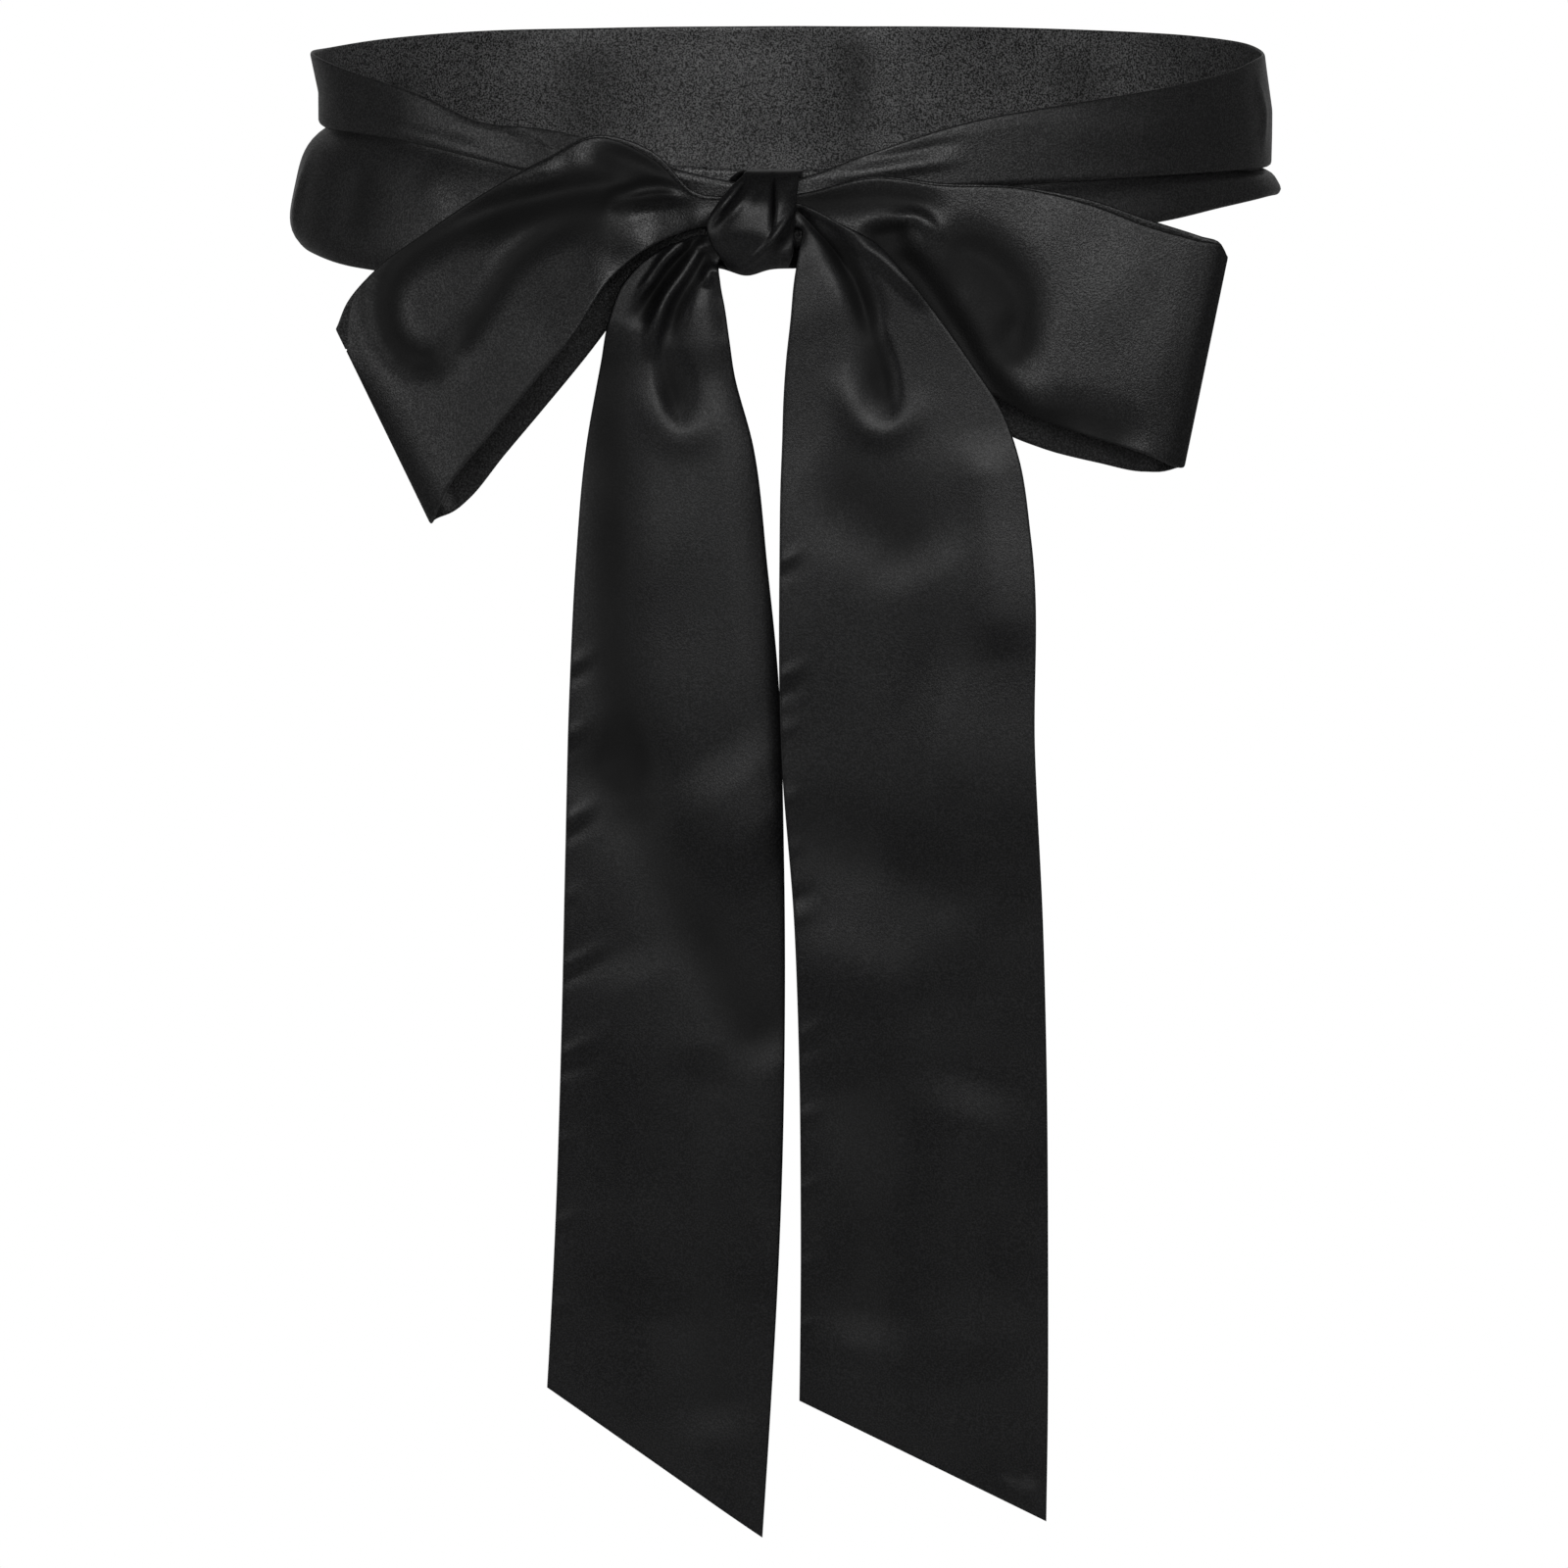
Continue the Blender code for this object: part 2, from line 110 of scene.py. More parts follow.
def nearest(line, x, z):
    """Each point's distance to the line, the side it is on, and how far along the line it is, 0 to 1."""
    steps = np.diff(line, axis=0)
    lengths = np.linalg.norm(steps, axis=1)
    starts = np.concatenate([[0.0], np.cumsum(lengths)])
    best = np.full(x.shape, np.inf)
    along = np.zeros_like(x)
    side = np.ones_like(x)
    for i, length in enumerate(lengths):
        ux, uz = steps[i] / length
        dx = x - line[i, 0]
        dz = z - line[i, 1]
        t = np.clip(dx * ux + dz * uz, 0.0, length)
        distance = np.hypot(dx - t * ux, dz - t * uz)
        closer = distance < best
        best = np.where(closer, distance, best)
        along = np.where(closer, starts[i] + t, along)
        side = np.where(closer, np.sign(ux * dz - uz * dx), side)
    return best, side, along / starts[-1]


FADE = 16.0  # how long a fold takes to die away at an end
FADE_SHARE = 0.38  # the most of a short fold's length that this may take


def fold_field(folds, x, z):
    """The sum of all folds at x, z: height * exp(-(distance / half width)^2), eased to 0 at the far end.

    A fold whose ends are "both" is eased to 0 at its first end too.
    """
    total = np.zeros_like(x)
    for height, half_width, *options, points in folds:
        lean, ends = options or (0.0, "both")
        line = smooth_line(points)
        length = np.linalg.norm(np.diff(line, axis=0), axis=1).sum()
        end = min(FADE_SHARE, FADE / length)
        distance, side, along = nearest(line, x, z)
        width = half_width * (1 + lean * side)
        fade = ease((1 - along) / end)
        if ends == "both":
            fade = fade * ease(along / end)
        total += height * fade * np.exp(-((distance / width) ** 2))
    return total


middle = np.zeros((1, 1))
ridge = (2.0, 5.0, ((-20, 0), (20, 0)))
print("a ridge of 2 mm stands", fold_field((ridge,), middle, middle)[0, 0], "mm high at its middle")

# %% [markdown]
# ## Hollows and slow waves
# Two more forms aren't lines. Where a gather runs out, it leaves a hollow with one steep wall and a rounded
# lip. And worn cloth isn't quite smooth between its folds, so slow waves a fraction of a millimetre high
# move the shine about.

# %% Hollows and waves
# Across a hollow, in half widths from its axis: where its floor begins to sink and over how much, then where
# its wall ends and over how much it rises.
FLOOR_START = -1.25
FLOOR_RUN = 2.0
WALL_END = 1.3
WALL_RUN = 1.0
WAVES = 4  # sines in the slow waves


def pocket_field(pockets, x, z):
    """A hollow that runs down under one steep wall and ends in a round lip, as where a gather runs out.

    Its depth grows evenly along its axis, and it opens from 0.45 of its half width to all of it. Across the
    axis the floor eases down and the wall eases up. The lip lies further up by the square of the distance
    across, which makes it round. "steep" is 1 for a wall on the right and -1 for one on the left.
    """
    total = np.zeros_like(x)
    for depth, half_width, steep, line in pockets:
        line = np.array(line, float)
        axis = line[-1] - line[0]
        length = np.linalg.norm(axis)
        axis = axis / length
        dx = x - line[0, 0]
        dz = z - line[0, 1]
        along = dx * axis[0] + dz * axis[1]
        spread_out = half_width * (0.45 + 0.55 * ease(along / (0.7 * length)))
        across = steep * (dz * axis[0] - dx * axis[1]) / spread_out
        gentle = ease((across - FLOOR_START) / FLOOR_RUN)
        wall = ease((WALL_END - across) / WALL_RUN)
        lip = length - half_width * (1.25 + 0.4 * across ** 2)
        finish = 1 - ease((along - lip) / (2.2 * half_width))
        ramp = np.clip(along / length, 0, 1)
        total -= depth * ramp * gentle * wall * finish
    return total


def undulate(x, z, size, height, seed):
    """Slow, uneven waves: the mean of sines that cross at odd angles, so no two keep in step."""
    rng = np.random.default_rng(seed)
    total = np.zeros_like(x)
    for _ in range(WAVES):
        angle = rng.uniform(0, np.pi)
        wave = size * rng.uniform(0.7, 1.6)
        phase = rng.uniform(0, 2 * np.pi)
        total += np.sin((x * np.cos(angle) + z * np.sin(angle)) * 2 * np.pi / wave + phase)
    return height * total / WAVES


print("slow waves:", WAVES, "sines")

# %% [markdown]
# ## From a surface to cloth
# The real strip is a flat tube: two layers of satin, sewn along one edge and folded at the other. So a piece
# is not a bare surface. It gets a front skin and a back skin half a thickness to either side, and they close
# in a round edge, which catches the thin rim of light that a folded satin edge has.

# %% Skins and edges
SKIN = 1.1  # thickness of the two layers together
ROUND = 1.0  # how far in from an edge the skins bend together
NEAR_EDGE = (0.0, 0.12, 0.4, 0.72)  # extra lines before the first even one, as shares of the way to it
EXTRA = len(NEAR_EDGE)


def spread(count, edge=0.012):
    """Places from 0 to 1 with extra ones close to both ends, where the edge is rounded."""
    inner = np.linspace(edge, 1 - edge, count)
    near = edge * np.array(NEAR_EDGE)
    return np.concatenate([near, inner, (1 - near)[::-1]])


def normals_of(points, wrap):
    """Unit normals of a grid: the cross product of its two central differences."""
    if wrap:
        along = np.roll(points, -1, 0) - np.roll(points, 1, 0)
    else:
        along = np.gradient(points, axis=0)
    across = np.gradient(points, axis=1)
    normal = np.cross(across, along)
    return normal / np.maximum(np.linalg.norm(normal, axis=2, keepdims=True), 1e-9)


def edge_profile(points, wrap):
    """Half the thickness at each point, and its distance from the nearest open edge.

    Half the thickness follows a quarter ellipse over the last ROUND mm before an open edge.
    """
    across = np.linalg.norm(np.diff(points, axis=1), axis=2)
    left = np.concatenate([np.zeros((len(points), 1)), np.cumsum(across, axis=1)], axis=1)
    from_edge = np.minimum(left, left[:, -1:] - left)
    if not wrap:
        along = np.linalg.norm(np.diff(points, axis=0), axis=2)
        top = np.concatenate([np.zeros((1, points.shape[1])), np.cumsum(along, axis=0)], axis=0)
        from_edge = np.minimum(from_edge, np.minimum(top, top[-1:] - top))
    t = np.clip(from_edge / ROUND, 0, 1)
    return SKIN / 2 * np.sqrt(np.clip(1 - (1 - t) ** 2, 0, 1)), from_edge


print("cloth is", SKIN, "mm thick, with edges that round off over", ROUND, "mm")

# %% [markdown]
# ## Making the mesh
# A surface is a grid of points, so its faces follow from the grid's cells. The back skin has the same cells,
# turned round, and along an open edge it uses the front skin's points, which closes the piece. Each point
# keeps its place on the flat strip as a UV, and two numbers that the satin reads later: whether it is on the
# reverse, and how deep it lies in a fold.

# %% Cloth builder
HOLLOW = 2.6  # where a fold takes the cloth this far back, it counts as fully hollow
ON_EDGE = 1e-6  # a point nearer to an open edge than this is on it


def turned(points, relief):
    """The same surface with its lines taken from the other edge, so its front faces the viewer."""
    return points[:, ::-1], relief[:, ::-1]


def placed(name, data):
    """A new object in the scene that holds the given mesh, light or camera."""
    holder = bpy.data.objects.new(name, data)
    bpy.context.scene.collection.objects.link(holder)
    return holder


def skin_faces(index, behind, wrap):
    """The four corners of every cell: one way round for the front skin, the other way for the back skin."""
    rows, across = index.shape
    last = rows if wrap else rows - 1
    i = np.arange(last)[:, None]
    j = np.arange(across - 1)[None, :]
    below = (i + 1) % rows
    over = np.stack([index[i, j], index[below, j], index[below, j + 1], index[i, j + 1]], -1)
    under = np.stack([behind[i, j], behind[i, j + 1], behind[below, j + 1], behind[below, j]], -1)
    return np.concatenate([over.reshape(-1, 4), under.reshape(-1, 4)])


def strip_places(points):
    """Each point's place on the flat strip, in metres: the mean steps along and across, added up."""
    along = np.linalg.norm(np.diff(points, axis=0), axis=2).mean(axis=1)
    across = np.linalg.norm(np.diff(points, axis=1), axis=2).mean(axis=0)
    u = np.concatenate([[0.0], np.cumsum(along)])
    v = np.concatenate([[0.0], np.cumsum(across)])
    return np.stack(np.meshgrid(u, v, indexing="ij"), axis=-1).reshape(-1, 2) / MM


def mesh_of(name, vertices, faces):
    """A smooth mesh of points given in millimetres and rows of four corners."""
    mesh = bpy.data.meshes.new(name)
    mesh.vertices.add(len(vertices))
    mesh.vertices.foreach_set("co", (vertices / MM).ravel())
    mesh.loops.add(faces.size)
    mesh.loops.foreach_set("vertex_index", faces.ravel())
    mesh.polygons.add(len(faces))
    mesh.polygons.foreach_set("loop_start", np.arange(0, faces.size, 4))
    mesh.update(calc_edges=True)
    mesh.shade_smooth()
    return mesh


def cloth_piece(name, shape, wrap=False):
    """A closed thin piece of cloth on a grid of points, with UVs in metres and two attributes.

    "reverse" is 1 on the back skin. "hollow" eases from 0 to 1 as the folds take the cloth HOLLOW mm back.
    """
    points, relief = shape
    normal = normals_of(points, wrap)
    half, from_edge = edge_profile(points, wrap)
    front = points + normal * half[..., None]
    back = points - normal * half[..., None]
    count = from_edge.size
    index = np.arange(count).reshape(from_edge.shape)
    behind = np.where(from_edge > ON_EDGE, index + count, index)
    faces = skin_faces(index, behind, wrap)
    used = np.zeros(2 * count, bool)
    used[faces] = True
    faces = (np.cumsum(used) - 1)[faces]
    vertices = np.concatenate([front.reshape(-1, 3), back.reshape(-1, 3)])
    mesh = mesh_of(name, vertices[used], faces)
    uv = np.tile(strip_places(points), (2, 1))[used]
    mesh.uv_layers.new(name="cloth").data.foreach_set("uv", uv[faces.ravel()].ravel())
    reverse = np.repeat([0.0, 1.0], count)
    # The satin darkens its colour by this number, which is painted shade in the folds.
    hollow = np.tile(ease(-relief / HOLLOW).ravel(), 2)
    for mask, values in (("reverse", reverse), ("hollow", hollow)):
        mesh.attributes.new(mask, "FLOAT", "POINT").data.foreach_set("value", values[used])
    print(f"{name}: {len(faces)} quads")
    return placed(name, mesh)


print("a fold counts as fully hollow at", HOLLOW, "mm")

# %% [markdown]
# ## The waistband
# The strip is wider than the band that is worn, so it is folded once along its length. A section therefore
# climbs from the hem, goes up behind the crease, turns down to it, and climbs again in front to the top edge.
# The front part of the band sinks and narrows towards the knot, because the bow pulls the cloth together
# there. One table holds that shape all the way round, and a second one the folds that cross it.

# %% Waistband tables
RING_SIDE = 155.0  # half the width of the waist ring
RING_FORE = 114.4  # half its depth, front to back
LAYER = 1.6  # spacing of the layers in the pleat
ARC = 2.35  # millimetres of band for each degree, to draw folds on it
# A row for each angle, which is 0 at the front and goes round by the viewer's left: the heights of the top
# edge, the crease and the hem, how far the pleat is tucked up behind, and how far the top edge, the crease,
# the middle of the lower part and the hem stand out from the ring.
BAND_COLUMNS = ("angle", "top", "crease", "bottom", "tuck", "out_top", "out_crease", "belly", "hem")
BAND = (
    (-5.2, 7.4, 0.6, -12.4, 3.6, -0.4, 0, -3.4, -4),
    (-12, 11.2, 2.2, -14, 5.4, -0.4, 0, -2.6, -3.4),
    (-20, 18.4, 5.6, -18.5, 8, -0.6, 0, -1.6, -2.4),
    (-29, 23, 9.6, -22.5, 8, -0.6, 0, -0.8, -1.4),
    (-38, 24.3, 13.8, -25, 7, -0.6, 0, 0.2, -0.4),
    (-48, 31.6, 17.3, -25, 8, -0.8, -0.4, 1, 0.4),
    (-62, 36.4, 18.4, -24.6, 7.8, -1.2, -2.4, 2, 0),
    (-76, 39, 17.7, -23.2, 7.4, -2.2, -4.6, 2.2, -0.4),
    (-90, 39, 17.5, -22.4, 7, -3.1, -5.6, 2, -0.6),
    (-104, 38, 14.6, -23.4, 6.4, -3.2, -4.6, 0.8, -1.2),
    (-120, 38.4, 8.6, -25.4, 5.6, -3.2, -3.2, -0.2, -1.8),
    (-138, 38.8, 0, -27.8, 4.8, -3.2, -2, -0.8, -2),
    (-156, 38.4, -9.6, -29.6, 4, -3.2, -1.4, -1.2, -2.4),
    (-180, 38.2, -14.6, -30.2, 3.8, -3.2, -1.2, -1.4, -2.6),
    (-208, 38.8, -9.6, -26.6, 5.4, -3.2, -1.2, -1.2, -2.4),
    (-226, 39.2, -3.6, -20.6, 8, -3.1, -1, -0.6, -1.8),
    (-242, 39.5, 0.6, -14, 11.2, -3, -0.6, -0.2, -1),
    (-256, 39.4, 2.6, -9.6, 13.4, -3, -0.6, 1, 0.2),
    (-270, 38.8, 3.8, -6.8, 14.6, -3, -0.6, 1.6, 0.8),
    (-284, 38.2, 5.2, -5, 15.6, -2.6, -0.4, 1.2, 0.6),
    (-298, 35.8, 6.6, -5.8, 16.5, -1.6, 0, 0.2, -0.2),
    (-312, 33.2, 7.3, -8.4, 17, -1, 0, 0, -0.4),
    (-326, 30.2, 7.2, -10.5, 17, -0.6, 0, -0.4, -0.8),
    (-340, 25, 6.6, -12, 13.5, -0.4, 0, -1.2, -1.8),
    (-352, 15.2, 3.6, -12.6, 8, -0.4, 0, -0.8, -1),
    (-358.5, 9.2, 1.6, -12.6, 4.6, -0.4, 0, -1.2, -1.4),
    (-363.6, 7.4, 0.6, -12.4, 3.6, -0.4, 0, -2.2, -2.6),
)
# Folds on the band: height, half width, a lean and ends if any, and the line as pairs of angle and height.
BAND_FOLDS = (
    (-1, 1, ((-35, 25), (-31, 20), (-27, 14))),
    (1.4, 9, ((-40, -12), (-44, 4), (-47, 12))),
    (-1.6, 9, ((-58, -18), (-60, -2), (-57, 12))),
    (1, 6, ((-78, -20), (-80, -6), (-77, 8))),
    (0.9, 3, ((-70, 21), (-56, 21), (-42, 17), (-34, 13))),
    (-0.8, 7, ((-64, 34), (-58, 28), (-50, 24))),
    (0.8, 8, ((-330, 26), (-318, 22), (-300, 26))),
    (-0.9, 9, ((-306, 30), (-300, 18), (-298, 10))),
    (0.8, 5, ((-286, 34), (-282, 20), (-284, 8))),
    (0.7, 3.5, ((-334, -4), (-318, 0), (-300, 1))),
    (-0.7, 2, ((-356, 12), (-348, 16), (-338, 21))),
    (0.7, 2, ((-358, 8), (-350, 11), (-338, 15))),
    (0.7, 2.2, ((-9, 8), (-14, 10), (-22, 15))),
    (1.3, 15, ((-234, 42), (-233, 0), (-230, -30))),
    (-1.2, 14, ((-219, 42), (-220, 10), (-222, -28))),
    (1.1, 15, ((-203, 44), (-204, 6), (-202, -34))),
    (-1.7, 9, 0.1, "both", ((-188.5, 46), (-189, 6), (-191, -36))),
    (1.3, 11, ((-180, 46), (-180, 4), (-178, -38))),
    (0.9, 15, ((-167, 44), (-166, 6), (-168, -36))),
    (-1.3, 14, ((-154, 44), (-153, 10), (-150, -34))),
    (1.2, 16, ((-138, 44), (-139, 8), (-142, -32))),
    (-0.9, 13, ((-122, 42), (-121, 6), (-118, -30))),
    (0.6, 9, ((-172, -8), (-190, 2), (-204, -10))),
    (-0.6, 8, ((-112, 14), (-130, 22), (-150, 14))),
    (0.5, 7, ((-222, 18), (-244, 24), (-262, 16))),
)

print("band:", len(BAND), "rows and", len(BAND_FOLDS), "folds")

# %% [markdown]
# ## Shaping the waistband
# The section is a list of places: up the lower part, round the two narrow turns of the pleat, and up the
# part in front. Each place is worked out for all angles at once, which gives a grid.

# %% Waistband form
SHELF = 1.6 * LAYER  # how far under the crease the lower part has come back to its place behind


def band_section(low=26, turn=6, tuck=8, high=24):
    """The places of one section: the part of the pleat that each point is on, and how far along that part."""
    arc = np.linspace(0, np.pi, turn)
    parts = [("low", t) for t in spread(low, 0.03)[:-EXTRA]]
    parts += [("inner_turn", t) for t in arc]
    parts += [("middle", t) for t in np.linspace(0, 1, tuck)[1:-1]]
    parts += [("outer_turn", t) for t in arc]
    parts += [("high", t) for t in spread(high, 0.04)[EXTRA:]]
    return parts


def section_point(place, t, row):
    """The height of one place of the section and its offset from the ring, at every angle.

    The lower part goes from the hem to its place behind the crease. Its middle stands at the belly's offset,
    and it falls off to its ends as 1-(2s-1)^4 with the share s of its height. The two turns are half circles,
    and the part in front is straight from the crease to the top edge.
    """
    crease = row["crease"]
    inner = row["out_crease"] - 2 * LAYER
    if place == "low":
        height = row["bottom"] + t * (crease + row["tuck"] - row["bottom"])
        share = np.clip((height - row["bottom"]) / (crease - SHELF - row["bottom"]), 0, 1)
        rise = (row["belly"] - 0.5 * (row["hem"] + inner)) * (1 - (2 * share - 1) ** 4)
        offset = row["hem"] * (1 - share) + inner * share + rise
    elif place == "inner_turn":
        height = crease + row["tuck"] + np.sin(t) * LAYER / 2
        offset = inner + (1 - np.cos(t)) * LAYER / 2
    elif place == "middle":
        height = crease + (1 - t) * row["tuck"]
        offset = inner + LAYER
    elif place == "outer_turn":
        height = crease - np.sin(t) * LAYER / 2
        offset = inner + LAYER + (1 - np.cos(t)) * LAYER / 2
    else:
        height = crease + t * (row["top"] - crease)
        clear = crease + row["tuck"] + LAYER
        share = np.clip((height - clear) / (row["top"] - clear), 0, 1)
        offset = row["out_crease"] * (1 - share) + row["out_top"] * share
    return height, offset


def on_arc(fold):
    """A fold of the band, with the angles of its line made millimetres round the ring."""
    return (*fold[:-1], tuple((angle * ARC, z) for angle, z in fold[-1]))


def waistband(stations):
    """The band's middle surface: an ellipse whose half sizes are the ring's plus the section's offset."""
    angle = np.linspace(BAND[0][0], BAND[-1][0], stations)
    rising = tuple((-row[0], *row[1:]) for row in BAND)
    row = columns(rising, BAND_COLUMNS, -angle)
    section = [section_point(place, t, row) for place, t in band_section()]
    height = np.concatenate([point[0] for point in section], axis=1)
    offset = np.concatenate([point[1] for point in section], axis=1)
    arc = np.repeat(angle[:, None] * ARC, height.shape[1], axis=1)
    relief = fold_field([on_arc(fold) for fold in BAND_FOLDS], arc, height)
    offset = offset + relief + undulate(arc, height, size=46, height=0.35, seed=3)
    turn = np.radians(angle)[:, None]
    x = (RING_SIDE + offset) * np.sin(turn)
    fore = (RING_FORE + offset) * np.cos(turn)
    return np.stack([x, -fore, height], axis=-1), relief


band = cloth_piece("waistband", waistband(420))

# %% [markdown]
# ## The bow loops
# A loop leaves the knot, widens, turns over at its end and comes back behind itself. One grid covers all of
# it: the first half of its lines is the front layer and the second half the layer behind, and a rounded nose
# joins them. The layer behind hangs a little lower, so its inside shows as a dark strip under the front one.
# The tables say where the edges run and where the satin folds.

# %% Loop tables
# A row for each line across a loop, from the knot out: x and z of the front layer's top edge, of its low edge
# and of the low edge behind, how far forward the two layers lie, and how far the one behind shows on top.
LOOP_COLUMNS = ("top_x", "top_z", "low_x", "low_z", "back_x", "back_z", "front", "back", "peek")
LOOP_LEFT = (
    (-15.5, 3.6, -15.5, -4.8, -15.5, -4.4, 119.2, 115.65, 0),
    (-29, 4.4, -29, -5.8, -29, -5.2, 120.4, 115.4, 1),
    (-40.5, 14.8, -42, -10.6, -38.2, -13.4, 124.5, 115.8, 2.4),
    (-56, 22.2, -53.5, -19, -48.2, -27.6, 128, 114.6, 0.6),
    (-74.5, 15.4, -66, -37.6, -60.8, -45, 128, 112.6, 0),
    (-93.1, 4.8, -78.6, -53, -75.5, -63.2, 125.5, 110.4, 0),
    (-111.8, -8, -90.8, -68.2, -88.2, -78.6, 121.5, 107.6, 0),
    (-127.9, -20.2, -102.4, -82.4, -98.8, -92, 117, 104.6, 0),
    (-136.5, -30.4, -107.8, -91.8, -105.6, -97.4, 113.6, 103.6, 0),
    (-139.8, -38.2, -110.4, -98.6, -110.4, -98.8, 112, 103.8, 0),
)
LOOP_RIGHT = (
    (-4, 3.4, -4, -5, -4, -4.6, 119.4, 116.25, 0),
    (6.5, 5, 6.5, -6.4, 6.5, -6, 119.6, 116.1, 0),
    (25.1, 9.7, 21.1, -21.8, 23.1, -25.4, 121, 115.6, 0),
    (47.1, 7.6, 38.1, -39, 41.3, -48, 121.2, 112.2, 0),
    (71.7, 6.4, 58.7, -54.6, 62.4, -68, 120, 109.2, 0),
    (93.4, 1.2, 78.8, -65.5, 79.6, -76.4, 118.2, 106, 0.9),
    (112.1, -6, 98, -72.2, 96.9, -81.2, 116, 103.2, 1.4),
    (127.8, -10.6, 112.2, -77, 111.6, -84.4, 113.2, 100.6, 0.8),
    (134.4, -12.4, 119.5, -80, 118.8, -84.2, 111.4, 100.4, 0.2),
    (136.2, -15.8, 123, -81.8, 123, -82, 108.6, 101.6, 0),
)
LOOP_LEFT_FOLDS = (
    (-3, 5, (
        (-38, 7.8), (-52.2, 7.4), (-65.9, 5.4), (-79.6, 2.4), (-93, -2), (-106, -8), (-117, -15),
        (-123, -23), (-124.5, -32), (-122.5, -40.5), (-115.7, -46.6), (-107.4, -47), (-99, -42))),
    (-3.2, 7, (
        (-104, -7), (-93, -2), (-79.6, 2.4), (-65.9, 5.4), (-52.2, 7.4), (-38, 7.8))),
    (-2.4, 4, (
        (-108, -48), (-98, -37), (-90, -25), (-84, -16), (-77, -9.5), (-68, -5), (-56, -1.5))),
    (-4, 4.6, ((-66, 17.5), (-57, 17.2), (-49, 14.8), (-41.6, 11), (-35, 5), (-31, -2))),
    (1.2, 4.6, ((-86, 5.5), (-76, 10.5), (-67, 13.5))),
    (1.9, 1.6, (
        (-27, 3.4), (-33, 5.6), (-41.3, 7.2), (-48.1, 5.8), (-54.3, 3.2), (-55, 0.6), (-50, -1))),
    (-1.2, 2, ((-51, 2.6), (-43, 3.8), (-32, 4))),
    (0.8, 2.4, ((-52, -0.8), (-44, -0.4), (-36, 1), (-26, 2.4))),
    (-1.8, 5.5, ((-68, -9), (-59, -5.5), (-50, -8), (-44, -14))),
    (1, 5, ((-47, -7), (-37, -4.5), (-26, -1))),
    (0.8, 10, ((-40, -10), (-56, -20), (-68, -34), (-80, -50))),
)
LOOP_RIGHT_FOLDS = (
    (-4.4, 5.2, (
        (24, -10), (35, -15.5), (43, -25), (51, -37), (59, -50), (68, -61.5), (80, -69), (92, -74))),
    (-3.4, 4, ((22, -12), (28, -8.4), (34, -7.2), (40, -10))),
    (1.5, 2.2, ((28, -5), (33.7, -2.8), (39.7, -2), (44.3, -5.2), (47.5, -12))),
    (-2.8, 6, 0.2, "both", (
        (45, -8), (55, -11.5), (64, -17), (70, -24), (72.5, -31.5), (69, -40), (60, -47))),
    (-2.4, 7, ((72, -64), (86, -65), (101, -70), (114, -77))),
    (-2.2, 10, ((38, -10), (50, -17), (60, -24), (64, -34), (70, -42), (84, -42))),
    (-2.4, 4.6, ((-10, -1), (4, 1), (18, 2.4), (30, 3.2), (42, 1.5), (52, -3))),
)
# Gentler folds on the layer behind, which fan out from the knot.
LOOP_LEFT_BEHIND = (
    (-2.4, 5, ((-34, 0), (-62, -2), (-92, -14))),
    (2, 6, ((-36, -6), (-62, -22), (-90, -50))),
    (-1.8, 8, ((-92, -30), (-110, -50), (-104, -76))),
)
LOOP_RIGHT_BEHIND = (
    (-2.2, 5, ((14, -2), (46, -12), (80, -24))),
    (1.8, 6, ((14, -8), (40, -30), (72, -56))),
    (-1.6, 8, ((92, -16), (106, -40), (98, -62))),
)

print("folds on the loops:", len(LOOP_LEFT_FOLDS), "and", len(LOOP_RIGHT_FOLDS))

# %% [markdown]
# ## Shaping the loops
# The lines run out along the front layer and back along the one behind. Round the nose they follow half an
# ellipse, so the cloth turns without a crease. Then the layers lean: a loop that is pulled into a knot opens
# like a mouth, with its front tipped up towards the light and its back tipped down.

# %% Loop form
NOSE = 0.90  # share of the loop's length where its end begins to turn round
NOSE_LINES = 12
BULGE = 0.8  # how far the front layer swells between its edges
LEAN_RUN = 0.35  # share of the length over which the lean comes in


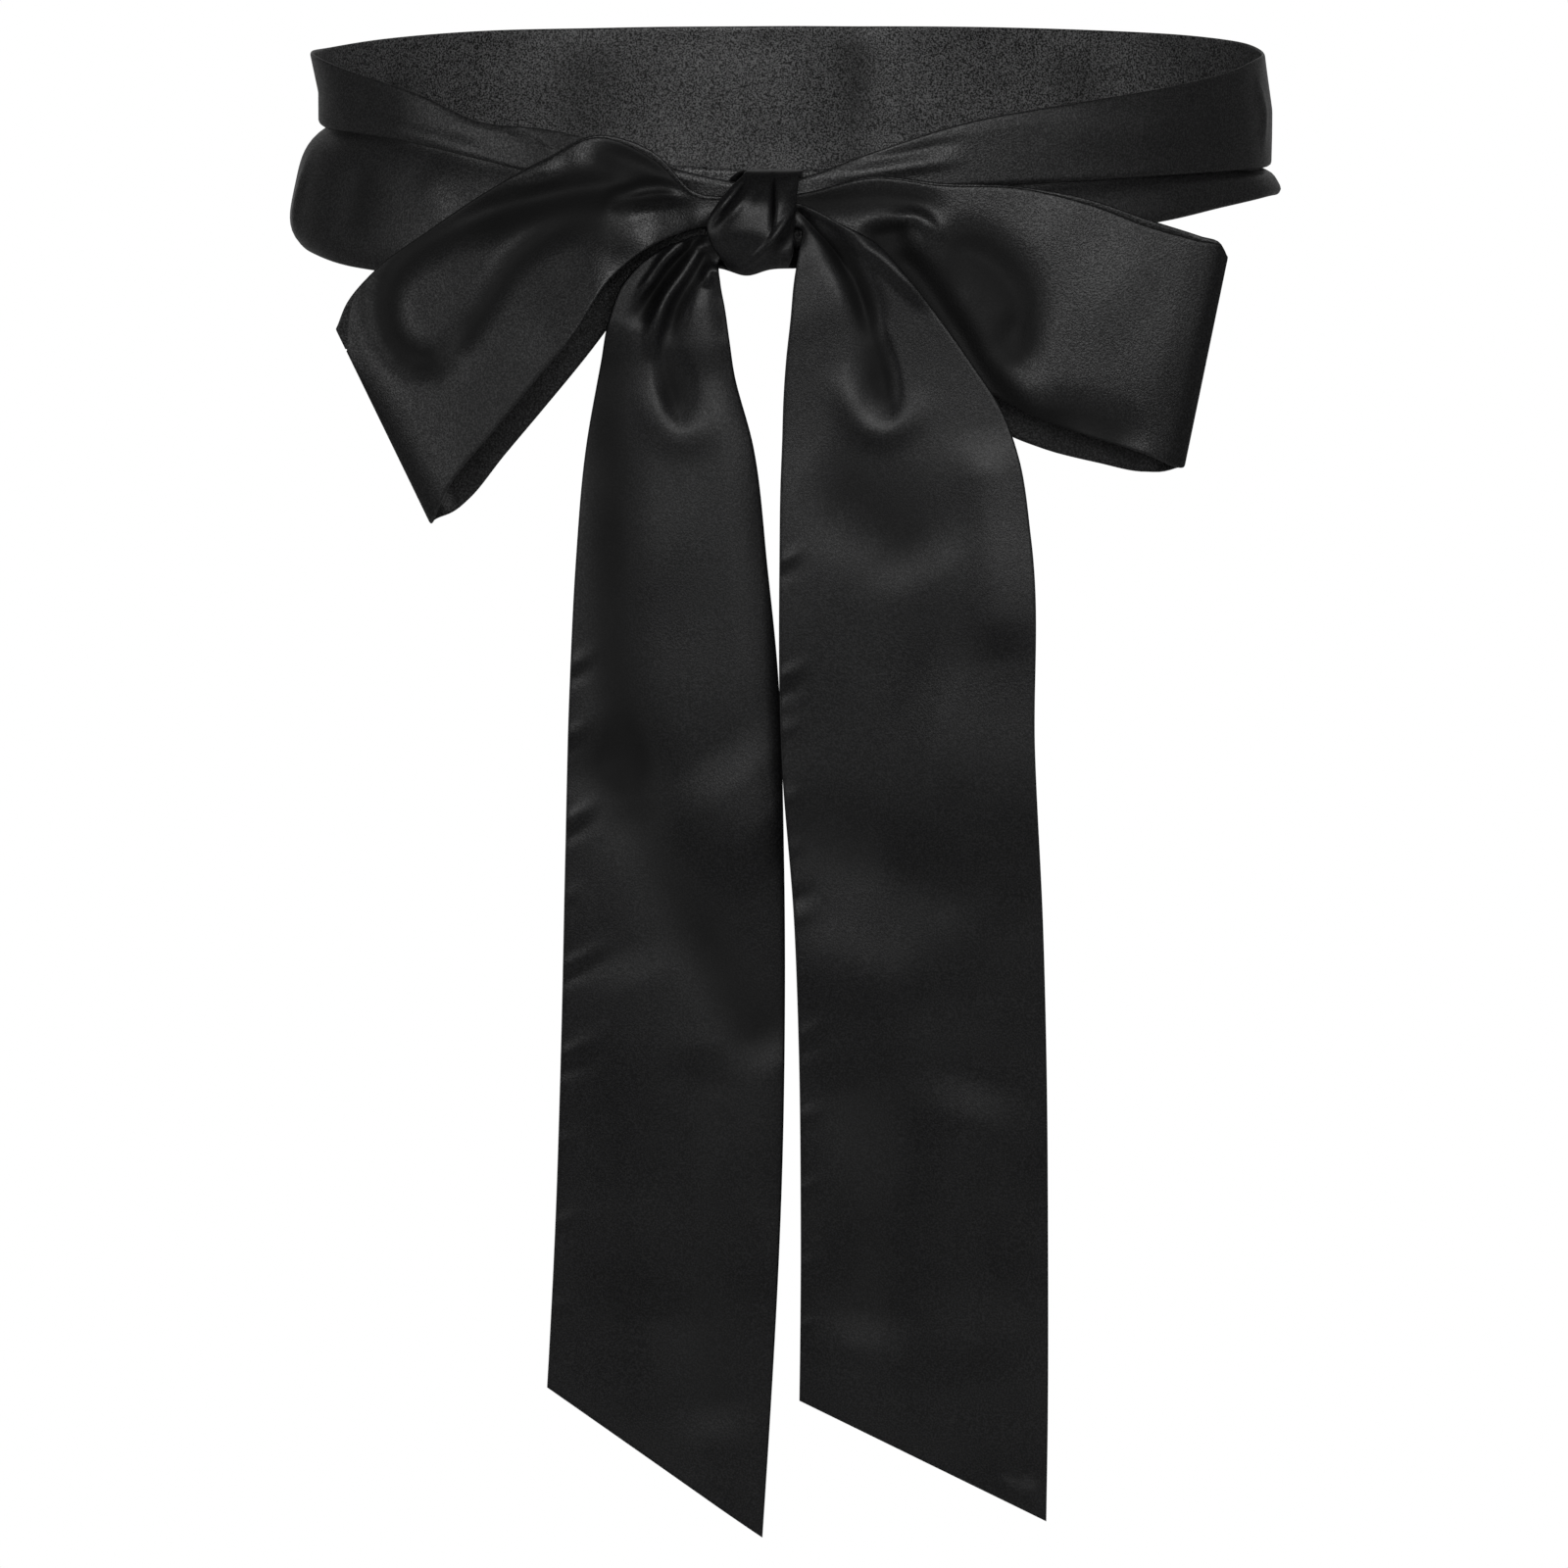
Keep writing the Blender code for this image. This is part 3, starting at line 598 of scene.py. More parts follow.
def bow_loop(table, folds, behind, lean, seed, along_count=130, across_count=84):
    """A loop's middle surface: out along the front layer, round the nose and back along the layer behind.

    "lean" tips the front layer up and the layer behind down: how far the front one's edges move, the share of
    the loop's length where that starts, and how far the edges of the one behind move.
    """
    reach = reach_of(table)
    reach = reach / reach[-1]
    out = np.linspace(0, NOSE, along_count)
    turn = np.linspace(0, np.pi / 2, NOSE_LINES)[1:-1]
    nose = NOSE + (1 - NOSE) * np.sin(turn)
    place = np.concatenate([out, nose, [1.0], nose[::-1], out[::-1]])
    side = np.concatenate([np.ones_like(out), np.cos(turn), [0.0], -np.cos(turn[::-1]), -np.ones_like(out)])
    side = side[:, None]
    row = columns(table, LOOP_COLUMNS, place, keys=reach)
    across = spread(across_count)[None, :]
    share = (1 + side) / 2
    low_x = share * row["low_x"] + (1 - share) * row["back_x"]
    low_z = share * row["low_z"] + (1 - share) * row["back_z"]
    width = np.hypot(row["top_x"] - low_x, row["top_z"] - low_z)
    raise_by = (1 - share) * row["peek"] / width
    top_x = row["top_x"] + (row["top_x"] - low_x) * raise_by
    top_z = row["top_z"] + (row["top_z"] - low_z) * raise_by
    x = top_x * (1 - across) + low_x * across
    z = top_z * (1 - across) + low_z * across
    centre = (row["front"] + row["back"]) / 2
    half = (row["front"] - row["back"]) / 2
    ahead = np.clip(side, 0, 1)
    after = np.clip(-side, 0, 1)
    fore = centre + half * side + BULGE * np.sin(np.pi * across) * ahead
    lean_in = ease((place[:, None] - lean[1]) / LEAN_RUN)
    fore = fore + (2 * across - 1) * lean_in * (lean[0] * share - lean[2] * (1 - share) ** 2)
    relief = fold_field(folds, x, z) * ahead
    fore = fore + relief - fold_field(behind, x, z) * after
    waves = undulate(x, z, size=34, height=0.25, seed=seed)
    fore = fore + waves * ease(np.abs(side)) * ease(place[:, None] / 0.25)
    return np.stack([x, -fore, z], axis=-1), relief


loop_left = cloth_piece("loop_left", turned(*bow_loop(
    LOOP_LEFT, LOOP_LEFT_FOLDS, LOOP_LEFT_BEHIND, lean=(7.5, 0.0, 3.5), seed=11)))
loop_right = cloth_piece("loop_right", bow_loop(
    LOOP_RIGHT, LOOP_RIGHT_FOLDS, LOOP_RIGHT_BEHIND, lean=(2.5, 0.25, 3.5), seed=12))

# %% [markdown]
# ## The tails
# Each tail fans out from the knot, bellies forward and comes back a little as it falls. Its gathers run out
# in a hollow with a rounded lip. The long seam lies on its left edge, where the thread pulls the satin into
# small puckers, and its right edge is only a fold. The ends are cut on a slant, longer on the right.

# %% Tail tables
# A row for each line across a tail, from the knot down: x and z of its left and right edges, how far forward
# it lies, and how far its right edge rolls back.
TAIL_COLUMNS = ("left_x", "left_z", "right_x", "right_z", "fore", "roll")
TAIL_LEFT = (
    (-17.5, -8, -15.5, -14.6, 118, 0),
    (-28.5, -8.6, -20.8, -16.6, 118.6, 0),
    (-40, -13, -20.6, -23, 119.2, 0),
    (-50, -22, -19.2, -31, 119.8, 0.5),
    (-55.2, -34.5, -17.8, -41, 120.4, 1.5),
    (-57.6, -47.5, -16.4, -51, 120.8, 2.5),
    (-62, -72, -10.5, -73.4, 122.4, 2.4),
    (-65.4, -108, -6.1, -111, 124.2, 2.8),
    (-67.5, -148, -2.7, -146, 125.2, 2.8),
    (-69, -200, -1, -200, 125.2, 2.6),
    (-70.3, -252, -0.7, -252, 124.4, 2.2),
    (-72.4, -314, -2.1, -318, 123.2, 1.6),
    (-74.7, -359, -5.6, -385, 122, 1),
    (-75.4, -370.8, -7.8, -419.4, 121.8, 1),
)
TAIL_RIGHT = (
    (-2.5, -4.8, -2.5, 2.4, 122.6, 0),
    (4.2, -6, 4.6, 2.2, 123.6, 0),
    (3.4, -13, 15.3, -3, 126, 0),
    (2, -22, 27, -9.4, 127, 0),
    (1, -33, 35.5, -18.2, 127.8, 0),
    (-0.3, -45, 44.8, -30, 128, 0),
    (-1.2, -58, 56.3, -46, 128.4, 0),
    (-1.6, -71, 66, -61, 129.2, 0),
    (-2.1, -84, 71.2, -75, 130.2, 0),
    (-2.4, -104, 75.3, -101, 131.4, 0),
    (-1.9, -167.5, 76.7, -167.5, 132, 0),
    (2.2, -222.7, 79.5, -222.7, 131, 0),
    (3.6, -262, 80.7, -262, 130, 0),
    (4.2, -317, 81.5, -320, 128.4, 0),
    (4, -359, 81.7, -385, 127, 0),
    (3.8, -374, 81.4, -412.8, 126.6, 0),
)
TAIL_LEFT_FOLDS = (
    (2.2, 1.8, 0, "far", ((-32.5, -11), (-37.5, -15.5), (-42, -22), (-47.5, -28.5))),
    (-3, 2.6, 0, "far", ((-27.5, -9.5), (-37.5, -20), (-45, -31.5), (-49.5, -37))),
    (2.6, 2.4, 0, "far", ((-27.5, -12), (-32, -20.5), (-37.4, -27.5), (-40.6, -37), (-42, -48))),
    (-2.6, 3.2, 0, "far", ((-26.5, -14.5), (-32, -24.5), (-35.5, -36), (-35.5, -44))),
    (0.7, 6, ((-46, -50), (-41, -62), (-33, -70), (-25.5, -67), (-22, -56))),
    (0.8, 6, ((-27, -18), (-27.5, -34), (-24.5, -54))),
    (1.4, 1.5, ((-25.5, -25), (-23.7, -19), (-18.5, -21))),
    (-1.2, 2.8, ((-22, -20), (-20.5, -30), (-18, -42))),
    (-2.2, 9, ((-57, -34), (-56, -60), (-55, -105), (-53, -150), (-46, -185))),
    (-1.9, 13, ((-66, -160), (-46, -188), (-30, -217), (-16, -247), (-2, -270))),
    (1.6, 24, ((-30, -172), (-15, -190), (0, -204))),
    (1.2, 16, ((-56, -230), (-40, -300), (-46, -350))),
    (-1.2, 14, ((-22, -260), (-30, -320), (-20, -390))),
)
TAIL_RIGHT_FOLDS = (
    (2.2, 2, 0, "far", ((2.6, 1.8), (8.6, 0.3), (15.6, -3.3), (26, -10.3))),
    (-1.5, 1.3, 0, "far", ((3.5, 0.3), (8, -5), (14, -12), (20, -22.5))),
    (-3.6, 3.8, ((7.5, -2.5), (15, -11.5), (20.6, -20.5), (24.4, -30), (26.6, -42))),
    (0.7, 5, ((13, -46), (18, -57), (24, -66), (30, -68), (37, -64), (41, -52))),
    (2.2, 38, ((32, -166), (54, -172), (76, -174), (100, -174))),
    (1.8, 2.4, ((12, -3), (20, -8.6), (28, -13.6), (36.5, -21.5), (45, -31.5))),
    (-1.7, 14, ((4, -80), (20, -88), (34, -98), (46, -114))),
    (1, 22, ((33, -111), (50, -115), (70, -119), (100, -122))),
    (1.2, 9, ((58, -66), (64, -100), (66, -140))),
    (-1.2, 13, ((-6, -188), (23.5, -200), (64, -218))),
    (1.1, 13, ((-2, -226), (21, -236), (46, -244))),
    (1.2, 16, ((60, -270), (48, -320), (56, -370))),
    (-1.2, 15, ((20, -260), (30, -310), (22, -360))),
    (0.5, 1.8, ((64, -399), (72, -402.5), (80, -405))),
    (-0.4, 1.6, ((74, -394), (77, -398), (81, -399))),
)
# Hollows where a gather runs out: depth, half width, side of the steep wall, and the axis from its top down.
TAIL_LEFT_POCKETS = ((3.9, 6.6, -1, ((-39.5, -31), (-31.5, -63))),)
TAIL_RIGHT_POCKETS = ((4.3, 7.6, 1, ((17.0, -16), (28.6, -61))),)
# Puckers on the seam at the left edge: height, how high they stand, how far they reach in, and their slant.
PUCKERS_LEFT = (
    (-141, 0.5, 12, 0.5), (-146, -0.4, 12, 0.5), (-163, 0.4, 9, 0.4), (-168, -0.3, 9, 0.4),
    (-190, 0.6, 14, 0.6), (-196, -0.5, 14, 0.6), (-214, 0.3, 8, 0.3), (-236, 0.6, 20, 0.5),
    (-241, -0.5, 20, 0.5), (-264, 0.6, 18, 0.5), (-270, -0.5, 16, 0.4), (-292, 0.3, 9, 0.3),
    (-318, 0.35, 10, 0.4), (-345, 0.3, 9, 0.3),
)
PUCKERS_RIGHT = (
    (-108, 0.5, 10, 0.5), (-113, -0.4, 10, 0.5), (-144, 0.5, 12, 0.5), (-150, -0.45, 11, 0.5),
    (-161, 0.4, 9, 0.4), (-182, 0.4, 8, 0.4), (-198, 0.3, 8, 0.3), (-214, -0.6, 10, 0.4),
    (-220, 0.4, 10, 0.4), (-257, 0.5, 13, 0.5), (-263, -0.4, 12, 0.5), (-283, 0.4, 11, 0.4),
    (-306, 0.4, 10, 0.4), (-330, 0.3, 9, 0.3), (-350, 0.3, 8, 0.3),
)

print("tails:", len(TAIL_LEFT_FOLDS), "and", len(TAIL_RIGHT_FOLDS), "folds")

# %% [markdown]
# ## Shaping the tails
# A tail is straight across, from its left edge to its right one, and everything else is laid on top of that:
# its gathers, its hollow, its puckers and slow waves. The gathers are close together, so half of the lines go
# into the first part of the length.

# %% Tail form
GATHERED = 0.30  # share of the length that holds the gathers
FIRST_LINES = (0.0, 0.0005, 0.0014)  # lines where the upper edge rounds off, as shares of the length
ROLL_FROM = 0.78  # share of the width where the right edge begins to roll back
ROLL_RUN = 0.22
PUCKER_HALF = 1.7  # half width of a pucker at the seam
PUCKER_OPENS = 0.10  # how much wider that is for each millimetre inward


def pucker_field(puckers, x, z, left_x):
    """Small ridges that start at the left edge and slant up as they run in: a bell across, faded inward."""
    total = np.zeros_like(x)
    inward = np.clip(x - left_x, 0, None)
    for height_z, height, reach, slant in puckers:
        centre = height_z + slant * inward
        width = PUCKER_HALF + PUCKER_OPENS * inward
        total += height * np.exp(-(((z - centre) / width) ** 2)) * ease(1 - inward / reach)
    return total


def tail(table, folds, pockets, puckers, seed, along_count=330, across_count=84):
    """A tail's middle surface: straight lines between its two edges, set forward by its folds."""
    reach = reach_of(table)
    first = np.linspace(0, GATHERED, along_count // 2, endpoint=False)
    rest = GATHERED + (1 - GATHERED) * spread(along_count - along_count // 2, 0.004)[EXTRA:]
    place = np.concatenate([FIRST_LINES, first[1:], rest]) * reach[-1]
    row = columns(table, TAIL_COLUMNS, place, keys=reach)
    across = spread(across_count)[None, :]
    x = row["left_x"] * (1 - across) + row["right_x"] * across
    z = row["left_z"] * (1 - across) + row["right_z"] * across
    roll = row["roll"] * np.clip((across - ROLL_FROM) / ROLL_RUN, 0, 1) ** 2
    relief = fold_field(folds, x, z) + pocket_field(pockets, x, z)
    fore = row["fore"] - roll + relief + pucker_field(puckers, x, z, row["left_x"])
    fore = fore + undulate(x, z, size=52, height=0.3, seed=seed) * ease((-z - 20) / 60)
    return np.stack([x, -fore, z], axis=-1), relief


tail_left = cloth_piece("tail_left_cloth", turned(*tail(
    TAIL_LEFT, TAIL_LEFT_FOLDS, TAIL_LEFT_POCKETS, PUCKERS_LEFT, seed=21)))
tail_right = cloth_piece("tail_right_cloth", turned(*tail(
    TAIL_RIGHT, TAIL_RIGHT_FOLDS, TAIL_RIGHT_POCKETS, PUCKERS_RIGHT, seed=22)))

# %% [markdown]
# ## The knot
# The strip is wrapped once round the gathered cloth. The wrap is a rounded-box tube whose rims are cut on a
# slant. A sharp crease runs down its face and another slants away to the left. On the right the strip's edge
# crosses over a layer that is sunk under it, and the lower rim sags where the cloth is loose.

# %% Knot tables
# A row for each height of the wrap's face: that height, its left and right rims, and how far it stands out.
FACE_COLUMNS = ("height", "left", "right", "stand")
KNOT_FACE = (
    (-20, -16, -1, -1),
    (-17.5, -18, 0.4, -0.2),
    (-14.5, -20.4, 1.4, 1),
    (-9.5, -23.6, 2, 1.3),
    (-3.4, -24.6, 2.2, 1),
    (2, -21.6, 2.6, 0.2),
    (7, -17.6, 3.2, -1.2),
    (12, -12.8, 3.8, -1.6),
    (14, -12.4, 4, -1.6),
)
# The folds of the face: its swell, the strip that crosses on the right, that strip's edge and the sunk layer
# under it, the crease that runs down, and the crease that slants to the left with a ridge on either side.
KNOT_FOLDS = (
    (1.8, 8.5, ((-12, 14), (-11.5, 0), (-13, -16))),
    (1.2, 3.4, ((0, 18), (-0.8, 4), (-3.2, -5), (-8, -12.5), (-15, -17))),
    (1.3, 1.2, ((6, 8), (2.4, 1.6), (-1.2, -3.8), (-5.4, -9.4), (-12.5, -16), (-20, -20))),
    (-1.8, 2.4, ((8, 4), (4.6, -1.4), (0.8, -7), (-3.6, -12.4), (-9, -18))),
    (-2.4, 0.9, -0.3, "both", ((-4, 20), (-4, 8), (-4.2, -2), (-5.6, -9))),
    (-1.8, 1, ((-9.5, 17), (-13.5, 8), (-19, 0.5), (-24, -6))),
    (1.2, 1.4, ((-12, 15), (-16, 8), (-21, 1), (-25, -4))),
    (1, 1.8, ((-8, 15), (-11.5, 8), (-17, 0), (-22, -7))),
)

print("knot:", len(KNOT_FACE), "rows and", len(KNOT_FOLDS), "folds")

# %% [markdown]
# ## Shaping the knot
# Seen from the side, the wrap is a superellipse, which is an ellipse with fuller corners. That is what soft
# cloth makes when it is pulled round a thick bundle. It is swept from the left rim to the right one, and the
# grid closes on itself all the way round.

# %% Knot form
KNOT_FORE = 118.0  # the wrap's middle, forward of the ring's
KNOT_HEIGHT = -3.2  # and the height of its middle
KNOT_FRONT = 10.4  # from there to its face
KNOT_BACK = 12.0  # and to its back
KNOT_HALF = 14.6  # half its height
KNOT_BOX = 3.0  # the power p of the superellipse, which would be 2 for an ellipse
BACK_LEFT = -23.0  # the left rim behind, below its middle
BACK_LEAN = 10.5  # how far that rim has moved to the right at the top
BACK_RIGHT = 5.0  # the right rim behind
RIM_FALL = 3.0  # how far the face falls back at its rims
SAG = 3.0  # how far the lower rim sags
SAG_AT = -12.5
SAG_HALF = 5.5


def knot_wrap(around_count, along_count):
    """The wrap's middle surface: a superellipse |y|^p + |z|^p = 1 swept between two rims.

    On the face the rims follow a table by height, so the wrap slants. Behind, the left rim leans with the
    square of the height over the middle, and the right rim is straight. Below, the face sags in a bell.
    """
    around = np.linspace(0, 2 * np.pi, around_count, endpoint=False)[:, None]
    along = spread(along_count, 0.04)[None, :]
    rise = np.sin(around)
    ahead = np.cos(around)
    size = (np.abs(rise) ** KNOT_BOX + np.abs(ahead) ** KNOT_BOX) ** (-1 / KNOT_BOX)
    depth = np.where(ahead > 0, KNOT_FRONT, KNOT_BACK)
    height = KNOT_HEIGHT + KNOT_HALF * size * rise
    face = columns(KNOT_FACE, FACE_COLUMNS, height[:, 0])
    front = ease(ahead / 0.55 + 0.1)
    left = face["left"] * front + (BACK_LEFT + BACK_LEAN * np.clip(rise, 0, 1) ** 2) * (1 - front)
    right = face["right"] * front + BACK_RIGHT * (1 - front)
    middle = np.clip(size * ahead, 0, 1) ** 2
    x = left * (1 - along) + right * along
    z = height - SAG * np.clip(-rise, 0, 1) ** 2 * front * np.exp(-(((x - SAG_AT) / SAG_HALF) ** 2))
    round_off = RIM_FALL * (np.abs(2 * along - 1) ** 4) * middle
    fore = KNOT_FORE + depth * size * ahead + (face["stand"] * middle) - round_off
    relief = fold_field(KNOT_FOLDS, x, z) * middle
    return np.stack([x, -fore - relief, z], axis=-1), relief


knot = cloth_piece("knot_wrap", knot_wrap(260, 96), wrap=True)

# %% [markdown]
# ## The grain of satin
# Satin shines because its threads float over several others, so light leaves it in a soft lobe. Up close
# the floats break that shine into grain. A noise with cells of about half a millimetre stands for them, and
# a slow one for the wear of handling. Both are in a node group, which every satin here uses.

# %% Grain group
FLOATS = 1800.0  # cells of the fine noise in a metre
HANDLED = 34.0  # cells of the slow noise in a metre
BUMP = 0.0006  # metres


def noise(tree, place, scale, detail):
    """A noise texture on a position, and the socket that it comes out of."""
    node = tree.nodes.new("ShaderNodeTexNoise")
    node.inputs["Scale"].default_value = scale
    node.inputs["Detail"].default_value = detail
    tree.links.new(place, node.inputs["Vector"])
    return node.outputs["Fac"]


def grain_group():
    """A node group from a position to a fine mask, a slow mask and a normal bumped by the fine one."""
    group = bpy.data.node_groups.new("satin_grain", "ShaderNodeTree")
    group.interface.new_socket("Vector", in_out="INPUT", socket_type="NodeSocketVector")
    group.interface.new_socket("Strength", in_out="INPUT", socket_type="NodeSocketFloat")
    group.interface.new_socket("Grain", in_out="OUTPUT", socket_type="NodeSocketFloat")
    group.interface.new_socket("Cloud", in_out="OUTPUT", socket_type="NodeSocketFloat")
    group.interface.new_socket("Normal", in_out="OUTPUT", socket_type="NodeSocketVector")
    start = group.nodes.new("NodeGroupInput")
    end = group.nodes.new("NodeGroupOutput")
    fine = noise(group, start.outputs["Vector"], FLOATS, detail=1.0)
    slow = noise(group, start.outputs["Vector"], HANDLED, detail=3.0)
    bump = group.nodes.new("ShaderNodeBump")
    bump.inputs["Distance"].default_value = BUMP
    group.links.new(fine, bump.inputs["Height"])
    group.links.new(start.outputs["Strength"], bump.inputs["Strength"])
    group.links.new(fine, end.inputs["Grain"])
    group.links.new(slow, end.inputs["Cloud"])
    group.links.new(bump.outputs["Normal"], end.inputs["Normal"])
    return group


GRAIN = grain_group()
print("grain cells:", round(MM / FLOATS, 2), "mm")

# %% [markdown]
# ## Black satin
# Black cloth shows mostly by its shine, so the base colour is close to nothing and is flecked by the grain. A
# thin rough coat, flecked too, adds the wide soft part of the shine. Deep in a fold the hollow number paints
# shade: it darkens the colour and takes the coat's flecks away, and it also makes the cloth duller there.

# %% Satin material
FLECKS = 3.4  # how many times its base colour the lightest grain is
FLECKS_IN_FRONT = 0.3  # share of the flecks on the front, where the reverse has all of them
# Painted shade: in the deepest folds the colour falls to this share of itself.
PAINTED_FOLD_SHADE = 0.25  # what is left of the colour in a hollow
FOLD_ROUGH = 0.32  # roughness that a hollow adds
COAT_ROUGH = 0.4


def map_range(tree, source, span, result):
    """A Map Range node: where source goes over span, what comes out goes over result and no further."""
    node = tree.nodes.new("ShaderNodeMapRange")
    node.inputs["From Min"].default_value = span[0]
    node.inputs["From Max"].default_value = span[1]
    node.inputs["To Min"].default_value = result[0]
    node.inputs["To Max"].default_value = result[1]
    tree.links.new(source, node.inputs["Value"])
    return node.outputs["Result"]


def math_of(tree, operation, one, other):
    """A Math node on two sockets."""
    node = tree.nodes.new("ShaderNodeMath")
    node.operation = operation
    tree.links.new(one, node.inputs[0])
    tree.links.new(other, node.inputs[1])
    return node.outputs["Value"]


def mask_of(tree, name):
    """One of the two numbers that every point of the cloth keeps."""
    node = tree.nodes.new("ShaderNodeAttribute")
    node.attribute_name = name
    return node.outputs["Fac"]


def satin_colour_with_painted_shade(tree, grain, depth_for_painted_shade_and_dulling, base, reverse):
    """The colour of one side or the other, times the flecks of the grain, times a painted shade that darkens
    the hollows.
    """
    side = mask_of(tree, "reverse")
    face = tree.nodes.new("ShaderNodeMix")
    face.data_type = "RGBA"
    face.inputs["A"].default_value = (*base, 1.0)
    face.inputs["B"].default_value = (*reverse, 1.0)
    tree.links.new(side, face.inputs["Factor"])
    flecks = tree.nodes.new("ShaderNodeMix")
    flecks.inputs["A"].default_value = 1.0
    tree.links.new(map_range(tree, side, (0.0, 1.0), (FLECKS_IN_FRONT, 1.0)), flecks.inputs["Factor"])
    tree.links.new(map_range(tree, grain, (0.38, 0.66), (0.0, FLECKS)), flecks.inputs["B"])
    # Painted shade: the colour darkens as the cloth sinks into a fold.
    shade = map_range(tree, depth_for_painted_shade_and_dulling, (0.0, 1.0), (1.0, PAINTED_FOLD_SHADE))
    colour = tree.nodes.new("ShaderNodeMix")
    colour.data_type = "RGBA"
    colour.blend_type = "MULTIPLY"
    colour.inputs["Factor"].default_value = 1.0
    tree.links.new(face.outputs["Result"], colour.inputs["A"])
    tree.links.new(math_of(tree, "MULTIPLY", flecks.outputs["Result"], shade), colour.inputs["B"])
    return colour.outputs["Result"]


def satin(name, base, reverse, rough, strength, speckle, shine):
    """Black satin, with a colour for its front and one for its reverse.

    "rough" is its roughness before the slow noise and the hollows, "strength" that of its bump, "speckle" the
    most that the coat's flecks weigh, and "shine" its specular level.
    """
    made = bpy.data.materials.new(name)
    made.use_nodes = True
    tree = made.node_tree
    shader = tree.nodes["Principled BSDF"]
    place = tree.nodes.new("ShaderNodeTexCoord")
    grain = tree.nodes.new("ShaderNodeGroup")
    grain.node_tree = GRAIN
    grain.inputs["Strength"].default_value = strength
    tree.links.new(place.outputs["Object"], grain.inputs["Vector"])
    depth_for_painted_shade_and_dulling = mask_of(tree, "hollow")
    colour = satin_colour_with_painted_shade(tree, grain.outputs["Grain"], depth_for_painted_shade_and_dulling, base, reverse)
    polish = map_range(tree, grain.outputs["Cloud"], (0.3, 0.7), (rough - 0.05, rough + 0.07))
    dull = map_range(tree, depth_for_painted_shade_and_dulling, (0.0, 1.0), (0.0, FOLD_ROUGH))
    gloss = map_range(tree, grain.outputs["Grain"], (0.42, 0.72), (0.0, speckle))
    # Painted shade as well: the coat's flecked shine fades out in the folds.
    lit = map_range(tree, depth_for_painted_shade_and_dulling, (0.0, 1.0), (1.0, 0.0))
    tree.links.new(colour, shader.inputs["Base Color"])
    tree.links.new(math_of(tree, "ADD", polish, dull), shader.inputs["Roughness"])
    tree.links.new(grain.outputs["Normal"], shader.inputs["Normal"])
    tree.links.new(math_of(tree, "MULTIPLY", gloss, lit), shader.inputs["Coat Weight"])
    shader.inputs["Coat Roughness"].default_value = COAT_ROUGH
    shader.inputs["Specular IOR Level"].default_value = shine
    return made


print("satin: flecks up to", FLECKS, "times its colour")

# %% [markdown]
# ## One satin, three finishes
# The whole sash is one cloth, but it gets three copies of the satin, and their base colours are painted light
# and shade: the front round the waist is about twice as light as in the bow, and the tails and the knot are a
# little darker than the bow. Round the waist the cloth lies smooth, and its reverse, which shows inside the
# back, is lighter and more grainy. In the tails and the knot it is pulled straight, so it has less grain and
# less shine.

# %% Finishes
# Painted light and shade: the front of the waist is lighter, and the tails and the knot darker, than the bow.
WAIST_PAINTED_LIGHTER = (0.015, 0.015, 0.0153)
WAIST_REVERSE = (0.051, 0.051, 0.0515)
BOW = (0.007, 0.007, 0.0073)
TAILS_PAINTED_DARKER = (0.006, 0.006, 0.0065)
waist_satin_painted_lighter = satin("satin_round_the_waist_painted_lighter", WAIST_PAINTED_LIGHTER, WAIST_REVERSE,
                    rough=0.40, strength=0.28, speckle=1.2, shine=0.5)
in_the_bow = satin("satin_in_the_bow", BOW, BOW, rough=0.40, strength=0.29, speckle=0.95, shine=0.5)
tails_satin_painted_darker = satin("satin_in_the_tails_painted_darker", TAILS_PAINTED_DARKER, TAILS_PAINTED_DARKER, rough=0.41, strength=0.10, speckle=0.4, shine=0.4)
finish = {band: waist_satin_painted_lighter, tail_left: tails_satin_painted_darker, tail_right: tails_satin_painted_darker, knot: tails_satin_painted_darker}
pieces = {
    band: ("band_back", "band_left", "band_right"),
    loop_left: ("bow_loop_left",),
    loop_right: ("bow_loop_right",),
    tail_left: ("tail_left",),
    tail_right: ("tail_right",),
    knot: ("knot",),
}
for piece in pieces:
    piece.data.materials.append(finish.get(piece, in_the_bow))
print("satin on", len(pieces), "pieces")

# %% [markdown]
# ## Handing the pieces over
# Every cloth piece takes the place of its plain solid, or of three for the waistband, and is attached to the
# root body.

# %% Fitting to the solids
for piece, nodes in pieces.items():
    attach(piece, "root")
    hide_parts(*nodes)

# %% [markdown]
# ## Floor
# The floor lies a waist's height below. The camera sees it white, by an emission that only camera rays
# meet. To the cloth it is a pale grey that throws a little light back up.

# %% Floor
FLOOR = -1.05
LEFT, RIGHT, NEAR, FAR = -1.4, 1.4, -1.5, 1.3
corners = [(LEFT, NEAR, FLOOR), (RIGHT, NEAR, FLOOR), (RIGHT, FAR, FLOOR), (LEFT, FAR, FLOOR)]
floor_mesh = bpy.data.meshes.new("floor")
floor_mesh.from_pydata(corners, [], [(0, 1, 2, 3)])
floor = placed("floor", floor_mesh)
pale = bpy.data.materials.new("pale_floor")
pale.use_nodes = True
floor_shader = pale.node_tree.nodes["Principled BSDF"]
floor_shader.inputs["Base Color"].default_value = (0.78, 0.78, 0.78, 1)
floor_shader.inputs["Roughness"].default_value = 0.8
floor_shader.inputs["Emission Color"].default_value = (1, 1, 1, 1)
floor_ray = pale.node_tree.nodes.new("ShaderNodeLightPath")
pale.node_tree.links.new(floor_ray.outputs["Is Camera Ray"], floor_shader.inputs["Emission Strength"])
floor_mesh.materials.append(pale)
print("floor:", FLOOR, "m")

# %% [markdown]
# ## World
# The camera sees a white world. The cloth has a dim one, and a lighter patch straight behind it, which
# leaves thin bright rims where the cloth rounds away. A white world for everything would turn the black
# satin grey. The Standard view leaves white as it is.

